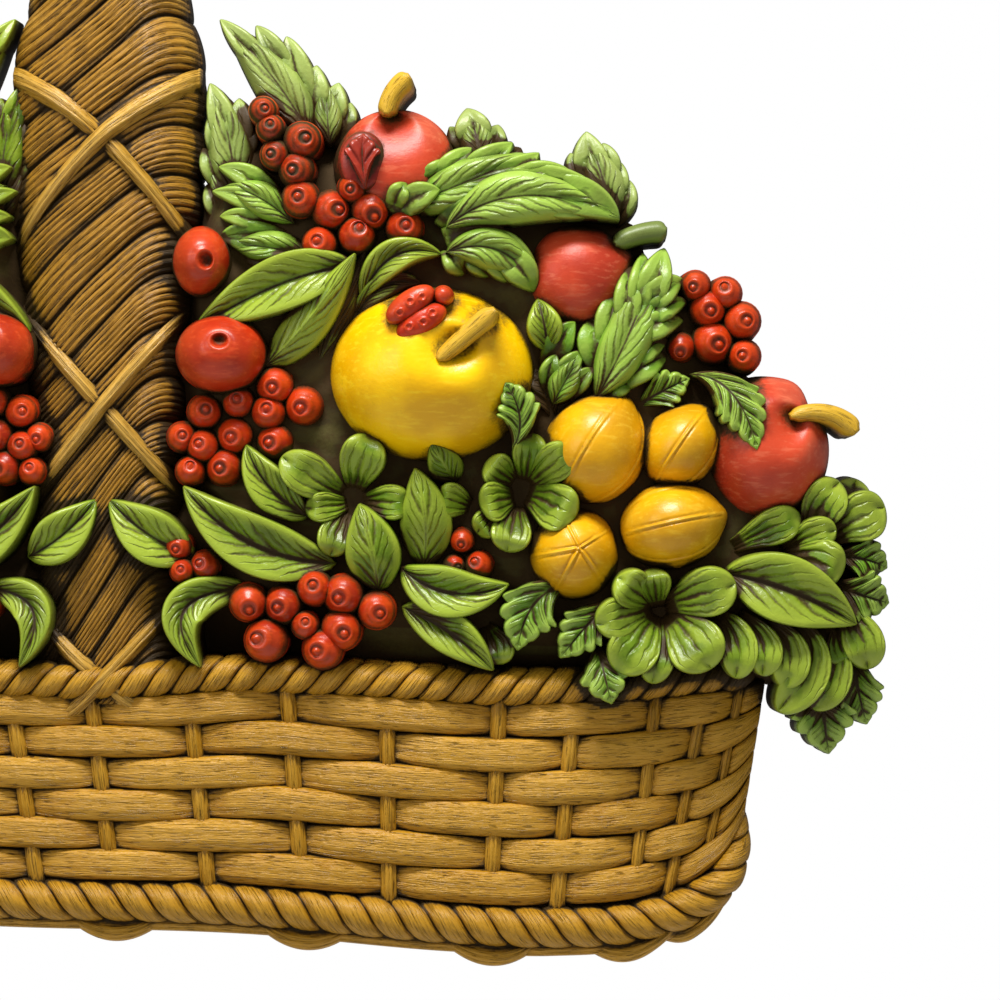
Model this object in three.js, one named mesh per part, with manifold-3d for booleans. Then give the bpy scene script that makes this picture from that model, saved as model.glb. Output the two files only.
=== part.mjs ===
// Decorative wall plaque: a wicker basket of fruit, nuts, berries and leaves in relief, moulded
// in one piece. Millimetres, +Z up, +X to the right. The flat back is the plane y = 0, which
// lies against the wall, and the relief stands out of it towards -Y. The origin is on the back,
// on the handle's centre line, at the height of the basket's rim.
//
// Every element is a patch of surface: a grid of points [x, z, rise], where rise is the distance
// from the wall. Each patch is closed by walls that run straight back past the wall plane, the
// patches are joined, and the plane then cuts them off flat.
import * as THREE from "three";
import { mergeVertices } from "three/addons/utils/BufferGeometryUtils.js";
import Module from "manifold-3d";

const wasm = await Module();
wasm.setup();

const BURIED = 5;            // how far each element runs past the wall plane before the cut
const SLACK = 0.35;          // how far the thinning may move a face
const SLIVER = 0.05;         // the narrowest face it may leave
const LEFT_SHARE = 0.8;      // the left half's reach, as a share of the right half's

const HANDLE_TOP = 366;
const HANDLE_FOOT = -5;
const HANDLE_CROWN = 38;
const HANDLE_SIDE = 13;
const BINDING_PITCH = 108;   // between two crossings of the handle's binding
const FIRST_CROSSING = 4;
const BUNDLE_PITCH = 19;
const BINDING_HALF = 5;
const BINDING_SPAN = 31;     // a binding arm's rise from the crossing to the handle's edge

const BASKET_RIGHT = 265;
const BASKET_LEFT = -LEFT_SHARE * BASKET_RIGHT;
const BASKET_RISE = 34;      // the weave's distance from the wall at the basket's middle
const BASKET_END_RISE = 9;
const ROWS = 6;
const FIRST_ROW = 0.135;     // the first row's place, from 0 at the rim to 1 at the base rope
const ROW_PITCH = 0.1405;
const STRIP_BULGE = 5.5;
const STAKE_STAND = 1.5;

const RIM_ROPE = { half: 7.4, stand: 7, twist: 15, lean: 0.8 };
const BASE_ROPE = { half: 8.2, stand: 9, twist: 17, lean: -0.75 };

// ---------------------------------------------------------------- small helpers

const lerp = (a, b, t) => a + (b - a) * t;
const smooth = (t) => { const c = Math.min(Math.max(t, 0), 1); return c * c * (3 - 2 * c); };
const toLeft = ([x, z]) => [-LEFT_SHARE * x, z];
const threes = (list) => Array.from({ length: list.length / 3 }, (_, i) => list.slice(3 * i, 3 * i + 3));
const steps = (count) => Array.from({ length: count + 1 }, (_, i) => i / count);

// The curve through a few [x, z] points, read by x.
function lineThrough(points) {
  const curve = new THREE.CatmullRomCurve3(points.map(([x, z]) => new THREE.Vector3(x, 0, z)));
  const samples = curve.getPoints(points.length * 12);
  return (x) => {
    const next = Math.max(1, samples.findIndex((p) => p.x >= x));
    const [a, b] = [samples[next - 1], samples[next]];
    return lerp(a.z, b.z, (x - a.x) / (b.x - a.x));
  };
}

// A closed solid from triangles of [x, y, z] points, whichever way they are wound.
function solidOf(triangles) {
  const flat = triangles.flat(2);
  const raw = new THREE.BufferGeometry();
  raw.setAttribute("position", new THREE.Float32BufferAttribute(flat, 3));
  const merged = mergeVertices(raw, 1e-3);
  const index = [];
  for (let i = 0; i < merged.index.count; i += 3) {
    const [a, b, c] = [0, 1, 2].map((k) => merged.index.getX(i + k));
    if (a !== b && b !== c && c !== a) index.push(a, b, c);
  }
  const place = merged.attributes.position;
  const corner = (i) => new THREE.Vector3().fromBufferAttribute(place, index[i]);
  let volume = 0;
  for (let i = 0; i < index.length; i += 3) {
    volume += corner(i).dot(corner(i + 1).cross(corner(i + 2)));
  }
  if (volume < 0) index.reverse();
  const triVerts = new Uint32Array(index);
  return new wasm.Manifold(new wasm.Mesh({ numProp: 3, vertProperties: place.array, triVerts }));
}

// A solid under a grid of [x, z, rise] points. A row may draw in to a single point, and a closed
// grid runs round, with its first and last columns alike.
function relief(grid, closed = false) {
  const front = ([x, z, rise]) => [x, -rise, z];
  const back = ([x, z]) => [x, BURIED, z];
  const triangles = [];
  const quad = (a, b, c, d) => triangles.push([a, b, c], [a, c, d]);
  const wall = (a, b) => quad(front(a), front(b), back(b), back(a));
  const [last, side] = [grid.length - 1, grid[0].length - 1];
  for (let i = 0; i < last; i += 1) {
    for (let j = 0; j < side; j += 1) {
      const ring = [grid[i][j], grid[i + 1][j], grid[i + 1][j + 1], grid[i][j + 1]];
      quad(...ring.map(front));
      quad(...ring.map(back).reverse());
    }
    if (!closed) {
      wall(grid[i + 1][0], grid[i][0]);
      wall(grid[i][side], grid[i + 1][side]);
    }
  }
  for (let j = 0; j < side; j += 1) {
    wall(grid[0][j], grid[0][j + 1]);
    wall(grid[last][j + 1], grid[last][j]);
  }
  return solidOf(triangles);
}

// Thins a closed mesh of points and triangles. One end of an edge is drawn into the other where
// that moves no face by more than the slack, turns none over and keeps the surface closed.
function thinned(points, triangles, slack) {
  const faces = triangles.map((t) => [...t]);
  const around = points.map(() => new Set());
  faces.forEach((face, f) => face.forEach((v) => around[v].add(f)));
  const linked = (v) => new Set([...around[v]].flatMap((f) => faces[f]).filter((u) => u !== v));
  const onWall = (v) => Math.abs(points[v].y) < 1e-6;
  const plane = ([a, b, c]) => new THREE.Triangle(points[a], points[b], points[c]);
  const [was, now] = [new THREE.Vector3(), new THREE.Vector3()];

  function mayDraw(from, into) {
    if (onWall(from) && !onWall(into)) return false;
    const [near, far] = [linked(from), linked(into)];
    if ([...near].filter((v) => far.has(v)).length !== 2) return false;
    return [...around[from]].filter((f) => !faces[f].includes(into)).every((f) => {
      const [old, turned] = [plane(faces[f]), plane(faces[f].map((v) => (v === from ? into : v)))];
      old.getNormal(was);
      turned.getNormal(now);
      const longest = Math.max(...[[0, 1], [1, 2], [2, 0]].map(([i, k]) => {
        const corners = [turned.a, turned.b, turned.c];
        return corners[i].distanceTo(corners[k]);
      }));
      const moved = Math.abs(now.dot(points[from].clone().sub(turned.a)));
      return was.dot(now) > 0.5 && (2 * turned.getArea()) / longest > SLIVER && moved < slack;
    });
  }

  function draw(from, into) {
    for (const f of around[from]) {
      if (faces[f].includes(into)) {
        faces[f].forEach((v) => v !== from && around[v].delete(f));
        faces[f] = null;
      } else {
        faces[f] = faces[f].map((v) => (v === from ? into : v));
        around[into].add(f);
      }
    }
    around[from].clear();
  }

  for (let pass = 0; pass < 3; pass += 1) {
    for (let v = 0; v < points.length; v += 1) {
      const gap = (u) => points[u].distanceTo(points[v]);
      const into = [...linked(v)].sort((a, b) => gap(a) - gap(b)).find((u) => mayDraw(v, u));
      if (into !== undefined) draw(v, into);
    }
  }
  return faces.filter(Boolean);
}

// The point and the direction at t on the bent midrib from root to tip.
function midrib(root, bend, tip, t) {
  const at = [0, 1].map((k) => (1 - t) ** 2 * root[k] + 2 * t * (1 - t) * bend[k] + t * t * tip[k]);
  const way = [0, 1].map((k) => (1 - t) * (bend[k] - root[k]) + t * (tip[k] - bend[k]));
  const length = Math.hypot(...way);
  return { at, way: way.map((k) => k / length) };
}

// ---------------------------------------------------------------- leaves

// Half width at t, as a share of the greatest, for a pointed leaf, a round petal and a lobed leaf.
const LEAF_FORMS = {
  blade: (t) => Math.sin(Math.PI * t ** 0.85) ** 0.8,
  petal: (t) => (t < 0.6 ? 0.3 + 0.7 * smooth(t / 0.6) : Math.sqrt(1 - ((t - 0.6) / 0.4) ** 2)),
  lobed: (t) => (t < 0.22 ? smooth(t / 0.22) ** 0.8 : 1 - 0.92 * ((t - 0.22) / 0.78) ** 1.5),
};
const LEAF_STEPS = { blade: [0, 0.3, 0.7, 1], petal: [0, 0.55, 0.85, 1] };
const SMALL_LEAF = 7.6;      // narrower leaves have no hollow along the midrib
const LOBE_CUT = 0.4;        // the depth of the notch between two lobes
const LOBE_LEAN = 0.5;       // how far the lobes point towards the tip
const LOBE_PEAK = 0.72;      // a lobe's widest place along its own length

// The steps of a lobed leaf: a notch and a peak for each lobe.
function lobeSteps(lobes) {
  const places = [{ t: 0, cut: 0 }];
  for (let k = 0; k < lobes; k += 1) {
    if (k > 0) places.push({ t: k / (lobes + 0.6), cut: LOBE_CUT });
    places.push({ t: (k + LOBE_PEAK) / (lobes + 0.6), cut: 0 });
  }
  places.push({ t: lobes / (lobes + 0.6), cut: LOBE_CUT }, { t: 1, cut: 1 });
  return places;
}

// A leaf from its stalk at root along a midrib that bends to its tip. rises are the midrib's
// distances from the wall at the stalk, half way and at the tip.
function leaf(form, root, bend, tip, half, lobes, rises) {
  const places = form === "lobed" ? lobeSteps(lobes) : LEAF_STEPS[form].map((t) => ({ t, cut: 0 }));
  return relief(places.map(({ t, cut }) => {
    const { at, way } = midrib(root, bend, tip, t);
    const width = half * LEAF_FORMS[form](t) * (1 - cut);
    const lean = form === "lobed" ? LOBE_LEAN * width * (1 - smooth((t - 0.75) / 0.25)) : 0;
    const rise = lerp(rises[0], rises[2], t) + (rises[1] - (rises[0] + rises[2]) / 2) * 4 * t * (1 - t);
    const edge = (s) => [
      at[0] - s * width * way[1] + lean * way[0],
      at[1] + s * width * way[0] + lean * way[1],
      rise,
    ];
    return half < SMALL_LEAF ? [edge(-1), edge(1)] : [edge(-1), [...at, rise - 0.15 * width], edge(1)];
  }));
}

// Petals round a centre, each with its angle, reach, half width and height.
function rosette([x, z], petals) {
  return petals.map(([angle, reach, half, rise]) => {
    const way = [Math.cos(angle * THREE.MathUtils.DEG2RAD), Math.sin(angle * THREE.MathUtils.DEG2RAD)];
    const out = (share) => [x + share * reach * way[0], z + share * reach * way[1]];
    return leaf("petal", out(0.06), out(0.5), out(1), half, 0, [rise - 10, rise, rise]);
  });
}

// ---------------------------------------------------------------- fruit

// A round thing seen from the front: rings about its eye, spread to an oval outline. dimple is
// the depth of the hollow at the eye.
function round({ at, half, crown, stand, eye = [0, 0], dimple = 0, sides = 10, rings = [0.25, 0.75] }) {
  const [halfX, halfZ] = half;
  return relief([0, ...rings, 1].map((share) => steps(sides).map((turn) => {
    const angle = 2 * Math.PI * turn;
    const x = lerp(eye[0], Math.cos(angle), share);
    const z = lerp(eye[1], Math.sin(angle), share);
    const dome = Math.sqrt(Math.max(0, 1 - x * x - z * z));
    const hollow = dimple * Math.exp(-((share / 0.22) ** 2));
    return [at[0] + halfX * x, at[1] + halfZ * z, crown - stand + stand * dome - hollow];
  })), true);
}

// A berry has six sides, low in front, and draws in to a point behind.
function berry([x, z, radius], crown) {
  const ring = steps(6).map((turn) => {
    const angle = 2 * Math.PI * turn;
    return [x + radius * Math.cos(angle), radius * 0.45 - crown, z + radius * Math.sin(angle)];
  });
  return solidOf(steps(5).flatMap((_, k) => [
    [[x, -crown, z], ring[k], ring[k + 1]], [[x, BURIED, z], ring[k + 1], ring[k]],
  ]));
}

// A ridge along a midrib, pointed or blunt at its ends: a stalk, a nut or a twist of rope.
function ridge(root, bend, tip, half, rises, { ends = 0.5, sides = 0.3, count = 3 } = {}) {
  return relief(steps(count).map((t) => {
    const { at, way } = midrib(root, bend, tip, t);
    const full = t === 0 || t === 1 ? ends : 1;
    const width = half * full;
    const rise = lerp(rises[0], rises[2], t) + (rises[1] - (rises[0] + rises[2]) / 2) * 4 * t * (1 - t);
    const edge = (s) => [
      at[0] - s * width * way[1], at[1] + s * width * way[0], rise - half * (1 - sides),
    ];
    return [edge(-1), [...at, rise], edge(1)];
  }));
}

// ---------------------------------------------------------------- basket

const rimLine = lineThrough([
  [-214, 11], [-122, 7], [-40, 4.5], [26, 4], [58, 7], [94, 5], [174, 1], [214, 3], [267, 8],
]);
const baseLine = lineThrough([
  [-214, -48], [-198, -68], [-122, -78], [-40, -82], [58, -85], [138, -92], [178, -94], [218, -90],
  [236, -83], [250, -68], [256, -55],
]);

// The stakes' places along the rim and along the base: they lean in towards the basket's foot.
const STAKES = [
  [-180, -166], [-150, -135], [-109, -95], [-72, -59], [-37, -25], [-5, 5], [34, 43], [73, 80],
  [113, 114], [158, 154], [188, 180], [221, 210], [241, 224], [256, 238],
];
const FIRST_STAKE = -5;      // the first one's number: number 1 is the first right of the handle
const ENDS = [[BASKET_LEFT, BASKET_LEFT + 16], [BASKET_RIGHT, BASKET_RIGHT - 11]];

function basketRise(x) {
  const middle = (BASKET_LEFT + BASKET_RIGHT) / 2;
  const share = Math.min(1, Math.abs(x - middle) / (BASKET_RIGHT - middle));
  return BASKET_END_RISE + (BASKET_RISE - BASKET_END_RISE) * Math.sqrt(1 - share ** 4);
}

// A place on the weave: [top, foot] is a line from the rim to the base, down is 0 to 1 along it.
function onBasket([top, foot], down, stand) {
  const x = lerp(top, foot, down);
  const z = lerp(rimLine(lerp(top, foot, 0)), baseLine(foot), down);
  return [x, z, basketRise(lerp(top, x, 0.5)) + stand];
}

const between = (a, b, share) => [lerp(a[0], b[0], share), lerp(a[1], b[1], share)];

// The woven front. Along each row the strips bulge over one upright and dip behind the next, and
// the rows' bulges alternate. The lines between the rows are furrows.
function weave() {
  const uprights = [ENDS[0], ...STAKES, ENDS[1]];
  const lines = [{ down: 0, row: 0 }];
  for (let row = 1; row <= ROWS; row += 1) {
    const down = FIRST_ROW + ROW_PITCH * (row - 1);
    lines.push({ down, row }, { down: down + ROW_PITCH / 2, row: 0 });
  }
  lines.push({ down: 1, row: 0 });
  const columns = uprights.flatMap((upright, k) => {
    const number = FIRST_STAKE + k - 1;
    const next = uprights[k + 1];
    return next ? [{ upright, number }, { upright: between(upright, next, 0.5) }] : [{ upright, number }];
  });
  return relief(columns.map(({ upright, number }) => lines.map(({ down, row }) => {
    if (!row) return onBasket(upright, down, 0);
    if (number === undefined) return onBasket(upright, down, STRIP_BULGE * 0.6);
    return onBasket(upright, down, (number + row) % 2 ? STAKE_STAND : STRIP_BULGE);
  })));
}

// A rope along a line between two ends: its twists are ridges that lean across it.
function rope(line, from, to, { half, stand, twist, lean }) {
  const count = 2 * Math.round((to - from) / twist);
  return relief(steps(count).map((share, k) => {
    const x = lerp(from, to, share);
    const rise = basketRise(x) + stand - (k % 2) * 2.5;
    return [-1, 0, 1].map((s) => [x + s * half * lean, line(x) + s * half, rise - 5 * s * s]);
  }));
}

// The stakes' ends, bent under the base rope.
function feet() {
  return STAKES.filter((_, k) => k % 2 === 1).map(([, foot]) => {
    const z = baseLine(foot);
    return ridge([foot - 15, z - 7], [foot, z - 17], [foot + 15, z - 7], 5.5,
      [basketRise(foot) - 2, basketRise(foot), basketRise(foot) - 2], { ends: 0.6, sides: 0.6, count: 2 });
  });
}

// ---------------------------------------------------------------- handle

const handleHalf = (z) => 31 + 5 * smooth((z - 120) / 80);

// The handle's end turns back over the fruit: its width and height draw in round a half circle.
function handleDraw(z) {
  const past = Math.max(0, z - (HANDLE_TOP - 36)) / 36;
  return Math.sqrt(Math.max(0, 1 - past * past));
}

function handleRise(share, z) {
  const draw = handleDraw(z);
  return draw * (HANDLE_SIDE + (HANDLE_CROWN - HANDLE_SIDE) * Math.sqrt(Math.max(0, 1 - share * share)));
}

// The handle's strands lie in bundles that rise to the right across it, with furrows between.
function handleBar() {
  const rows = [[HANDLE_FOOT, 0, 0]];
  for (let z = HANDLE_FOOT + 16; z < HANDLE_TOP - 24; z += BUNDLE_PITCH / 2) {
    rows.push([z, lerp(0.9, 0.35, smooth((z - 60) / 180)), rows.length % 2 ? 2 : -1.5]);
  }
  rows.push([HANDLE_TOP - 9, 0, 0], [HANDLE_TOP, 0, 0]);
  return relief(rows.map(([middle, slope, bump]) => [-1, -0.7, 0.7, 1].map((share) => {
    const z = Math.min(middle + slope * handleHalf(middle) * share, HANDLE_TOP);
    return [share * handleHalf(z) * handleDraw(z), z, Math.max(0, handleRise(share, z) + bump)];
  })));
}

function binding(crossing, turned) {
  const spread = [-1.04, -0.6, 0.6, 1.04];
  return relief(spread.map((share) => [-1, 0, 1].map((s) => {
    const z = Math.min(crossing + turned * share * BINDING_SPAN + s * BINDING_HALF, HANDLE_TOP - 2);
    const x = share * handleHalf(z) * handleDraw(z);
    return [x, z, handleRise(Math.min(0.97, Math.abs(share)), z) + (s === 0 ? 4.5 : 2)];
  })));
}

function handle() {
  const pieces = [handleBar()];
  for (let z = FIRST_CROSSING; z < HANDLE_TOP; z += BINDING_PITCH) {
    pieces.push(binding(z, -1), binding(z, 1));
  }
  return pieces;
}

// ---------------------------------------------------------------- layout

// Leaves that each half has: form, stalk, bend, tip, half width, lobes a side, and the rises.
const PAIRED_LEAVES = [
  // the crown, behind the fruit
  ["lobed", [83, 215], [84.5, 245.5], [45.5, 269.5], 18.5, 4, [20, 26, 20]],
  ["lobed", [47, 183], [52.5, 212], [43.5, 243], 12, 4, [16, 22, 16]],
  ["lobed", [135, 173], [163, 183], [174, 159], 9, 2, [28, 38, 34]],
  ["lobed", [132.5, 183], [163, 210.5], [206, 187], 11, 3, [28, 36, 34]],
  ["lobed", [199.5, 186.5], [198, 205.5], [193, 224.5], 12.5, 3, [18, 23, 18]],
  ["lobed", [198, 117.5], [211, 144], [223.5, 175], 15, 4, [24, 34, 24]],
  // the band that lies over the rim
  ["blade", [92.5, 51], [56.5, 52], [33, 81], 11, 0, [38, 44, 44]],
  ["blade", [110, 40], [108.5, 57], [102.5, 74], 10.5, 0, [38, 48, 44]],
  ["blade", [119, 49], [137, 33], [161, 42.5], 9.5, 0, [36, 46, 46]],
  ["blade", [59, 41], [18, 40], [39.5, 10.5], 8, 0, [36, 45, 48]],
  ["blade", [247, 47], [274, 42.5], [299, 27], 13, 0, [38, 46, 40]],
  // the spray that hangs past the basket's end
  ["petal", [290, 61.5], [301, 69.5], [314, 73], 8, 0, [22, 32, 28]],
  ["lobed", [290, 41], [301, 36], [312.5, 34.5], 9.5, 3, [26, 34, 28]],
  ["petal", [244.5, 29.5], [255, 24], [251.5, 7], 6.5, 0, [34, 45, 44]],
  ["lobed", [288.5, 10.5], [285, -4], [290, -25.5], 12, 3, [20, 26, 18]],
];

// Leaves of the fuller right half alone.
const RIGHT_LEAVES = [
  ["lobed", [76.5, 181.5], [63, 201.5], [43.5, 205.5], 12, 2, [24, 34, 34]],
  ["blade", [99.5, 171], [65, 171], [36.5, 146.5], 13.5, 0, [40, 40, 34]],
  ["blade", [36.5, 53.5], [18, 60], [3, 76], 10, 0, [38, 43, 42]],
  ["petal", [283, 61.5], [285, 73], [293, 82.5], 7, 0, [24, 36, 32]],
  ["petal", [266, 25.5], [277, 18.5], [271.5, 4], 6.5, 0, [33, 42, 40]],
  ["lobed", [80.5, 180], [63, 171], [45, 181], 7.5, 2, [26, 34, 32]],
  ["blade", [64.5, 129], [83.5, 144], [100.5, 173], 7.5, 0, [32, 42, 43]],
  ["lobed", [136.5, 173.5], [119.5, 180], [103, 154.5], 8, 2, [26, 36, 28]],
  ["lobed", [132.5, 190.5], [151, 205.5], [175.5, 215], 11, 2, [22, 30, 26]],
  ["blade", [82, 69.5], [63.5, 79], [57.5, 97.5], 8, 0, [32, 38, 38]],
  ["blade", [127.5, 49], [131, 68], [124.5, 88], 10, 0, [32, 44, 44]],
  ["blade", [119.5, 33.5], [140.5, 25], [155, 9], 8, 0, [36, 46, 47]],
  ["petal", [275, 53.5], [283, 51], [292.5, 47], 9.5, 0, [28, 42, 42]],
  ["lobed", [290, 52], [303.5, 53.5], [316.5, 49.5], 8, 2, [24, 32, 26]],
  ["petal", [255.5, 27], [265, 21.5], [263, 8], 5.5, 0, [34, 44, 42]],
  ["petal", [278, 26.5], [292.5, 13.5], [268.5, -7], 7.5, 0, [32, 40, 36]],
  ["lobed", [299, 20], [299, 0], [305, -13.5], 8.5, 2, [24, 30, 24]],
  ["blade", [81, 121], [93, 144], [104.5, 175], 5, 0, [24, 30, 36]],
  ["lobed", [135.5, 189], [123.5, 193], [112.5, 197.5], 6, 2, [24, 31, 30]],
  ["lobed", [151, 212], [147.5, 223], [145, 233.5], 6, 2, [16, 21, 17]],
  ["blade", [177, 135], [176, 145.5], [173, 155.5], 5.5, 0, [24, 31, 30]],
  ["lobed", [180.5, 126.5], [184.5, 137.5], [193, 147], 5.5, 2, [24, 29, 27]],
  ["blade", [182.5, 116.5], [185, 125.5], [191, 135], 5, 0, [26, 31, 29]],
  ["blade", [166.5, 97], [167, 110.5], [161, 121], 8, 0, [40, 52, 50]],
  ["lobed", [212.5, 115], [222, 117.5], [232.5, 125], 5.5, 2, [26, 32, 33]],
  ["lobed", [234, 124], [252.5, 124], [259, 97], 7.5, 3, [36, 46, 48]],
  ["blade", [140.5, 83], [136.5, 89], [131, 98.5], 6.5, 0, [30, 42, 48]],
  ["petal", [166, 42.5], [166, 30.5], [172.5, 14.5], 9, 0, [34, 46, 46]],
  ["petal", [198, 29], [188.5, 25], [177, 17], 7, 0, [34, 46, 46]],
  ["petal", [186, 16], [191.5, 9], [200.5, -3], 9, 0, [38, 49, 49]],
  ["petal", [255.5, 60], [265, 65.5], [276.5, 69], 5.5, 0, [28, 38, 36]],
  ["petal", [274, 58], [280.5, 63], [291, 64], 5, 0, [26, 38, 38]],
  ["petal", [298, 31], [307, 22.5], [309, 9], 8, 0, [26, 36, 32]],
];

// The rosettes: a centre, then each petal's angle, reach, half width and height.
const ROSETTES = [
  { at: [100, 76], petals: [
    [148, 32, 7.5, 42], [74, 26, 8, 42], [189, 18, 5, 39], [247, 23, 6, 40], [355, 23, 6, 41],
  ] },
  { at: [166.5, 80], petals: [
    [79, 21.5, 5.5, 43], [38, 26, 7, 46], [333, 23.5, 9, 46], [203, 16.5, 7, 42],
    [139, 16.5, 5, 41], [257, 24.5, 7, 44], [224, 24.5, 4.5, 38], [187, 34, 6, 39],
  ] },
  { at: [221, 32], petals: [
    [101, 16, 6, 44], [142, 21, 7, 46], [191, 25, 7.5, 47], [234, 28.5, 9.5, 49],
    [264, 28, 6.5, 45], [312, 29, 11, 50], [21, 31, 9, 49],
  ] },
];

// The berries of each bunch, [x, z, radius], and how far they stand from the wall.
const PAIRED_BERRIES = [
  { crown: 38, berries: [
    [64, 230.5, 5], [67, 223.5, 5], [79.5, 218.5, 7], [69, 213, 5.5], [77.5, 207, 6.5], [79, 195.5, 7],
    [100, 198.5, 6], [91, 191, 7.5], [106.5, 191, 7.5], [101, 181, 7], [86.5, 177.5, 6.5], [120, 184, 7],
  ] },
  { crown: 42, berries: [
    [68.5, 121.5, 7], [80, 113.5, 7.5], [54, 115, 6], [66, 111, 6.5], [40.5, 111, 6.5], [52.5, 101.5, 7],
    [68.5, 99, 7], [31.5, 101, 5.5], [40, 97.5, 6], [35, 87.5, 5.5], [48.5, 89, 7],
  ] },
  { crown: 50, berries: [
    [58.5, 35.5, 7], [72, 34.5, 7], [84.5, 41, 6.5], [96, 38.5, 7.5], [109, 32.5, 7], [81, 26.5, 5],
    [95, 24.5, 7.5], [65.5, 20.5, 8], [88, 17, 7.5],
  ] },
  { crown: 36, berries: [
    [236, 161.5, 5.5], [248, 158.5, 6], [241, 152.5, 7], [254.5, 147.5, 7], [243, 139, 8],
    [230, 137, 5.5], [255.5, 133.5, 6],
  ] },
];
const RIGHT_BERRIES = [
  { crown: 44, berries: [[30.5, 57.5, 5], [41, 50, 5.5], [32, 48, 4.5]] },
  { crown: 42, berries: [[143, 60, 4.5], [140, 50, 4], [149.5, 50, 5.5]] },
];

const FRUIT = [
  // the golden apple and the ladybird on it
  { at: [131, 126], half: [41, 35], crown: 62, stand: 34, eye: [0.27, 0.34], dimple: 5, sides: 14 },
  { at: [125.5, 149.5], half: [9.5, 8], crown: 61, stand: 6, sides: 8, rings: [] },
  { at: [136, 155.5], half: [4, 3.5], crown: 56, stand: 4, sides: 6, rings: [] },
  // red apples: at the top, behind the leaves and at the right end
  { at: [117, 209.5], half: [23, 23], crown: 48, stand: 22, eye: [0, 0.75], dimple: 4 },
  { at: [189, 165], half: [21.5, 21.5], crown: 44, stand: 20, eye: [0.3, 0.2], sides: 10, rings: [0.6] },
  { at: [210, 174], half: [6.5, 6], crown: 36, stand: 6, sides: 6, rings: [] },
  { at: [264, 96], half: [25.5, 29], crown: 50, stand: 28, eye: [0.4, 0.4], dimple: 4 },
  // crab apples against the handle
  { at: [39.5, 171], half: [11, 13], crown: 50, stand: 16, eye: [0.3, 0.05], sides: 8, rings: [0.6] },
  { at: [47.5, 134], half: [18, 15], crown: 54, stand: 18, eye: [0, 0.45], sides: 8, rings: [0.6] },
  // the left half's three fruits and a crab apple
  { at: [-106, 126], half: [35, 33], crown: 60, stand: 32, eye: [-0.25, 0.35], dimple: 5, sides: 12 },
  { at: [-94, 209], half: [21, 23], crown: 48, stand: 22, eye: [0, 0.7], dimple: 4 },
  { at: [-206, 98], half: [23, 27], crown: 48, stand: 26, eye: [-0.4, 0.4], dimple: 4 },
  { at: [-150, 165], half: [19, 21], crown: 44, stand: 20, eye: [-0.2, 0.2], sides: 10, rings: [0.6] },
  { at: [-43, 136], half: [16, 15], crown: 53, stand: 18, eye: [0, 0.45], sides: 8, rings: [0.6] },
];

// Walnuts: root, tip, half width and the height of the seam.
const WALNUTS = [
  [[190, 74], [211, 118], 17, 55], [[226, 84], [243, 109], 16, 52], [[204, 62], [249, 71], 18, 56],
  [[180, 41], [198, 70], 17, 55], [[-172, 72], [-160, 116], 15, 52], [[-148, 62], [-186, 76], 15, 52],
];

// Stalks: from, bend, to, half width and rise.
const STALKS = [
  [[134, 131], [142, 138], [156, 150], 3, 64],
  [[110, 231], [113, 238], [123, 246], 4, 40],
  [[205, 179], [214, 184], [224, 183], 4, 32],
  [[273, 109], [289, 114], [299, 103], 3.4, 44],
  [[-112, 132], [-118, 139], [-128, 148], 3, 62],
  [[-90, 231], [-93, 238], [-101, 246], 4, 40],
  [[-212, 110], [-226, 116], [-236, 106], 3.4, 42],
];

// The mass that the leaves and fruit grow out of.
const MOUND_RIGHT = [
  [30, 188], [60, 232], [90, 224], [118, 226], [146, 217], [182, 203], [214, 188], [222, 168],
  [254, 156], [258, 128], [274, 116], [290, 84], [303, 60], [307, 36], [302, 4], [284, -2], [254, 4],
];
const MOUND_CENTRE = [20, 100];
const MOUND_RISE = 20;

function mound() {
  const outline = [...MOUND_RIGHT, ...MOUND_RIGHT.map(toLeft).reverse()];
  const ring = [...outline, outline[0]];
  return relief([0, 0.93, 1].map((share) => ring.map(([x, z]) => [
    lerp(MOUND_CENTRE[0], x, share), lerp(MOUND_CENTRE[1], z, share),
    share < 1 ? MOUND_RISE : MOUND_RISE - 8,
  ])), true);
}

// ---------------------------------------------------------------- the plaque

const leafOnLeft = ([form, root, bend, tip, half, lobes, rises]) =>
  leaf(form, toLeft(root), toLeft(bend), toLeft(tip), half * 0.9, lobes, rises);

function foliage() {
  const smaller = ([angle, reach, half, rise]) => [180 - angle, reach * 0.9, half * 0.9, rise];
  const bloom = ROSETTES.at(-1);
  return [
    ...[...PAIRED_LEAVES, ...RIGHT_LEAVES].map((item) => leaf(...item)),
    ...PAIRED_LEAVES.map(leafOnLeft),
    ...ROSETTES.flatMap(({ at, petals }) => rosette(at, petals)),
    ...rosette(toLeft(bloom.at), bloom.petals.slice(0, 6).map(smaller)),
  ];
}

function berries() {
  const right = [...PAIRED_BERRIES, ...RIGHT_BERRIES].flatMap((bunch) =>
    bunch.berries.map((item) => berry(item, bunch.crown)));
  const left = PAIRED_BERRIES.slice(1).flatMap(({ crown, berries: all }) =>
    all.filter((_, k) => k % 3 !== 2).map(([x, z, r]) => berry([...toLeft([x, z]), r * 0.92], crown)));
  return [...right, ...left];
}

function fruit() {
  const nut = ([root, tip, half, rise]) => {
    const middle = between(root, tip, 0.5);
    return ridge(root, middle, tip, half, [rise - 6, rise, rise - 6], { ends: 0.3, sides: 0.25, count: 3 });
  };
  const stalk = ([from, bend, to, half, rise]) =>
    ridge(from, bend, to, half, [rise - 1, rise, rise], { ends: 0.9, sides: 0.3, count: 2 });
  return [...FRUIT.map(round), ...WALNUTS.map(nut), ...STALKS.map(stalk)];
}

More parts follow.
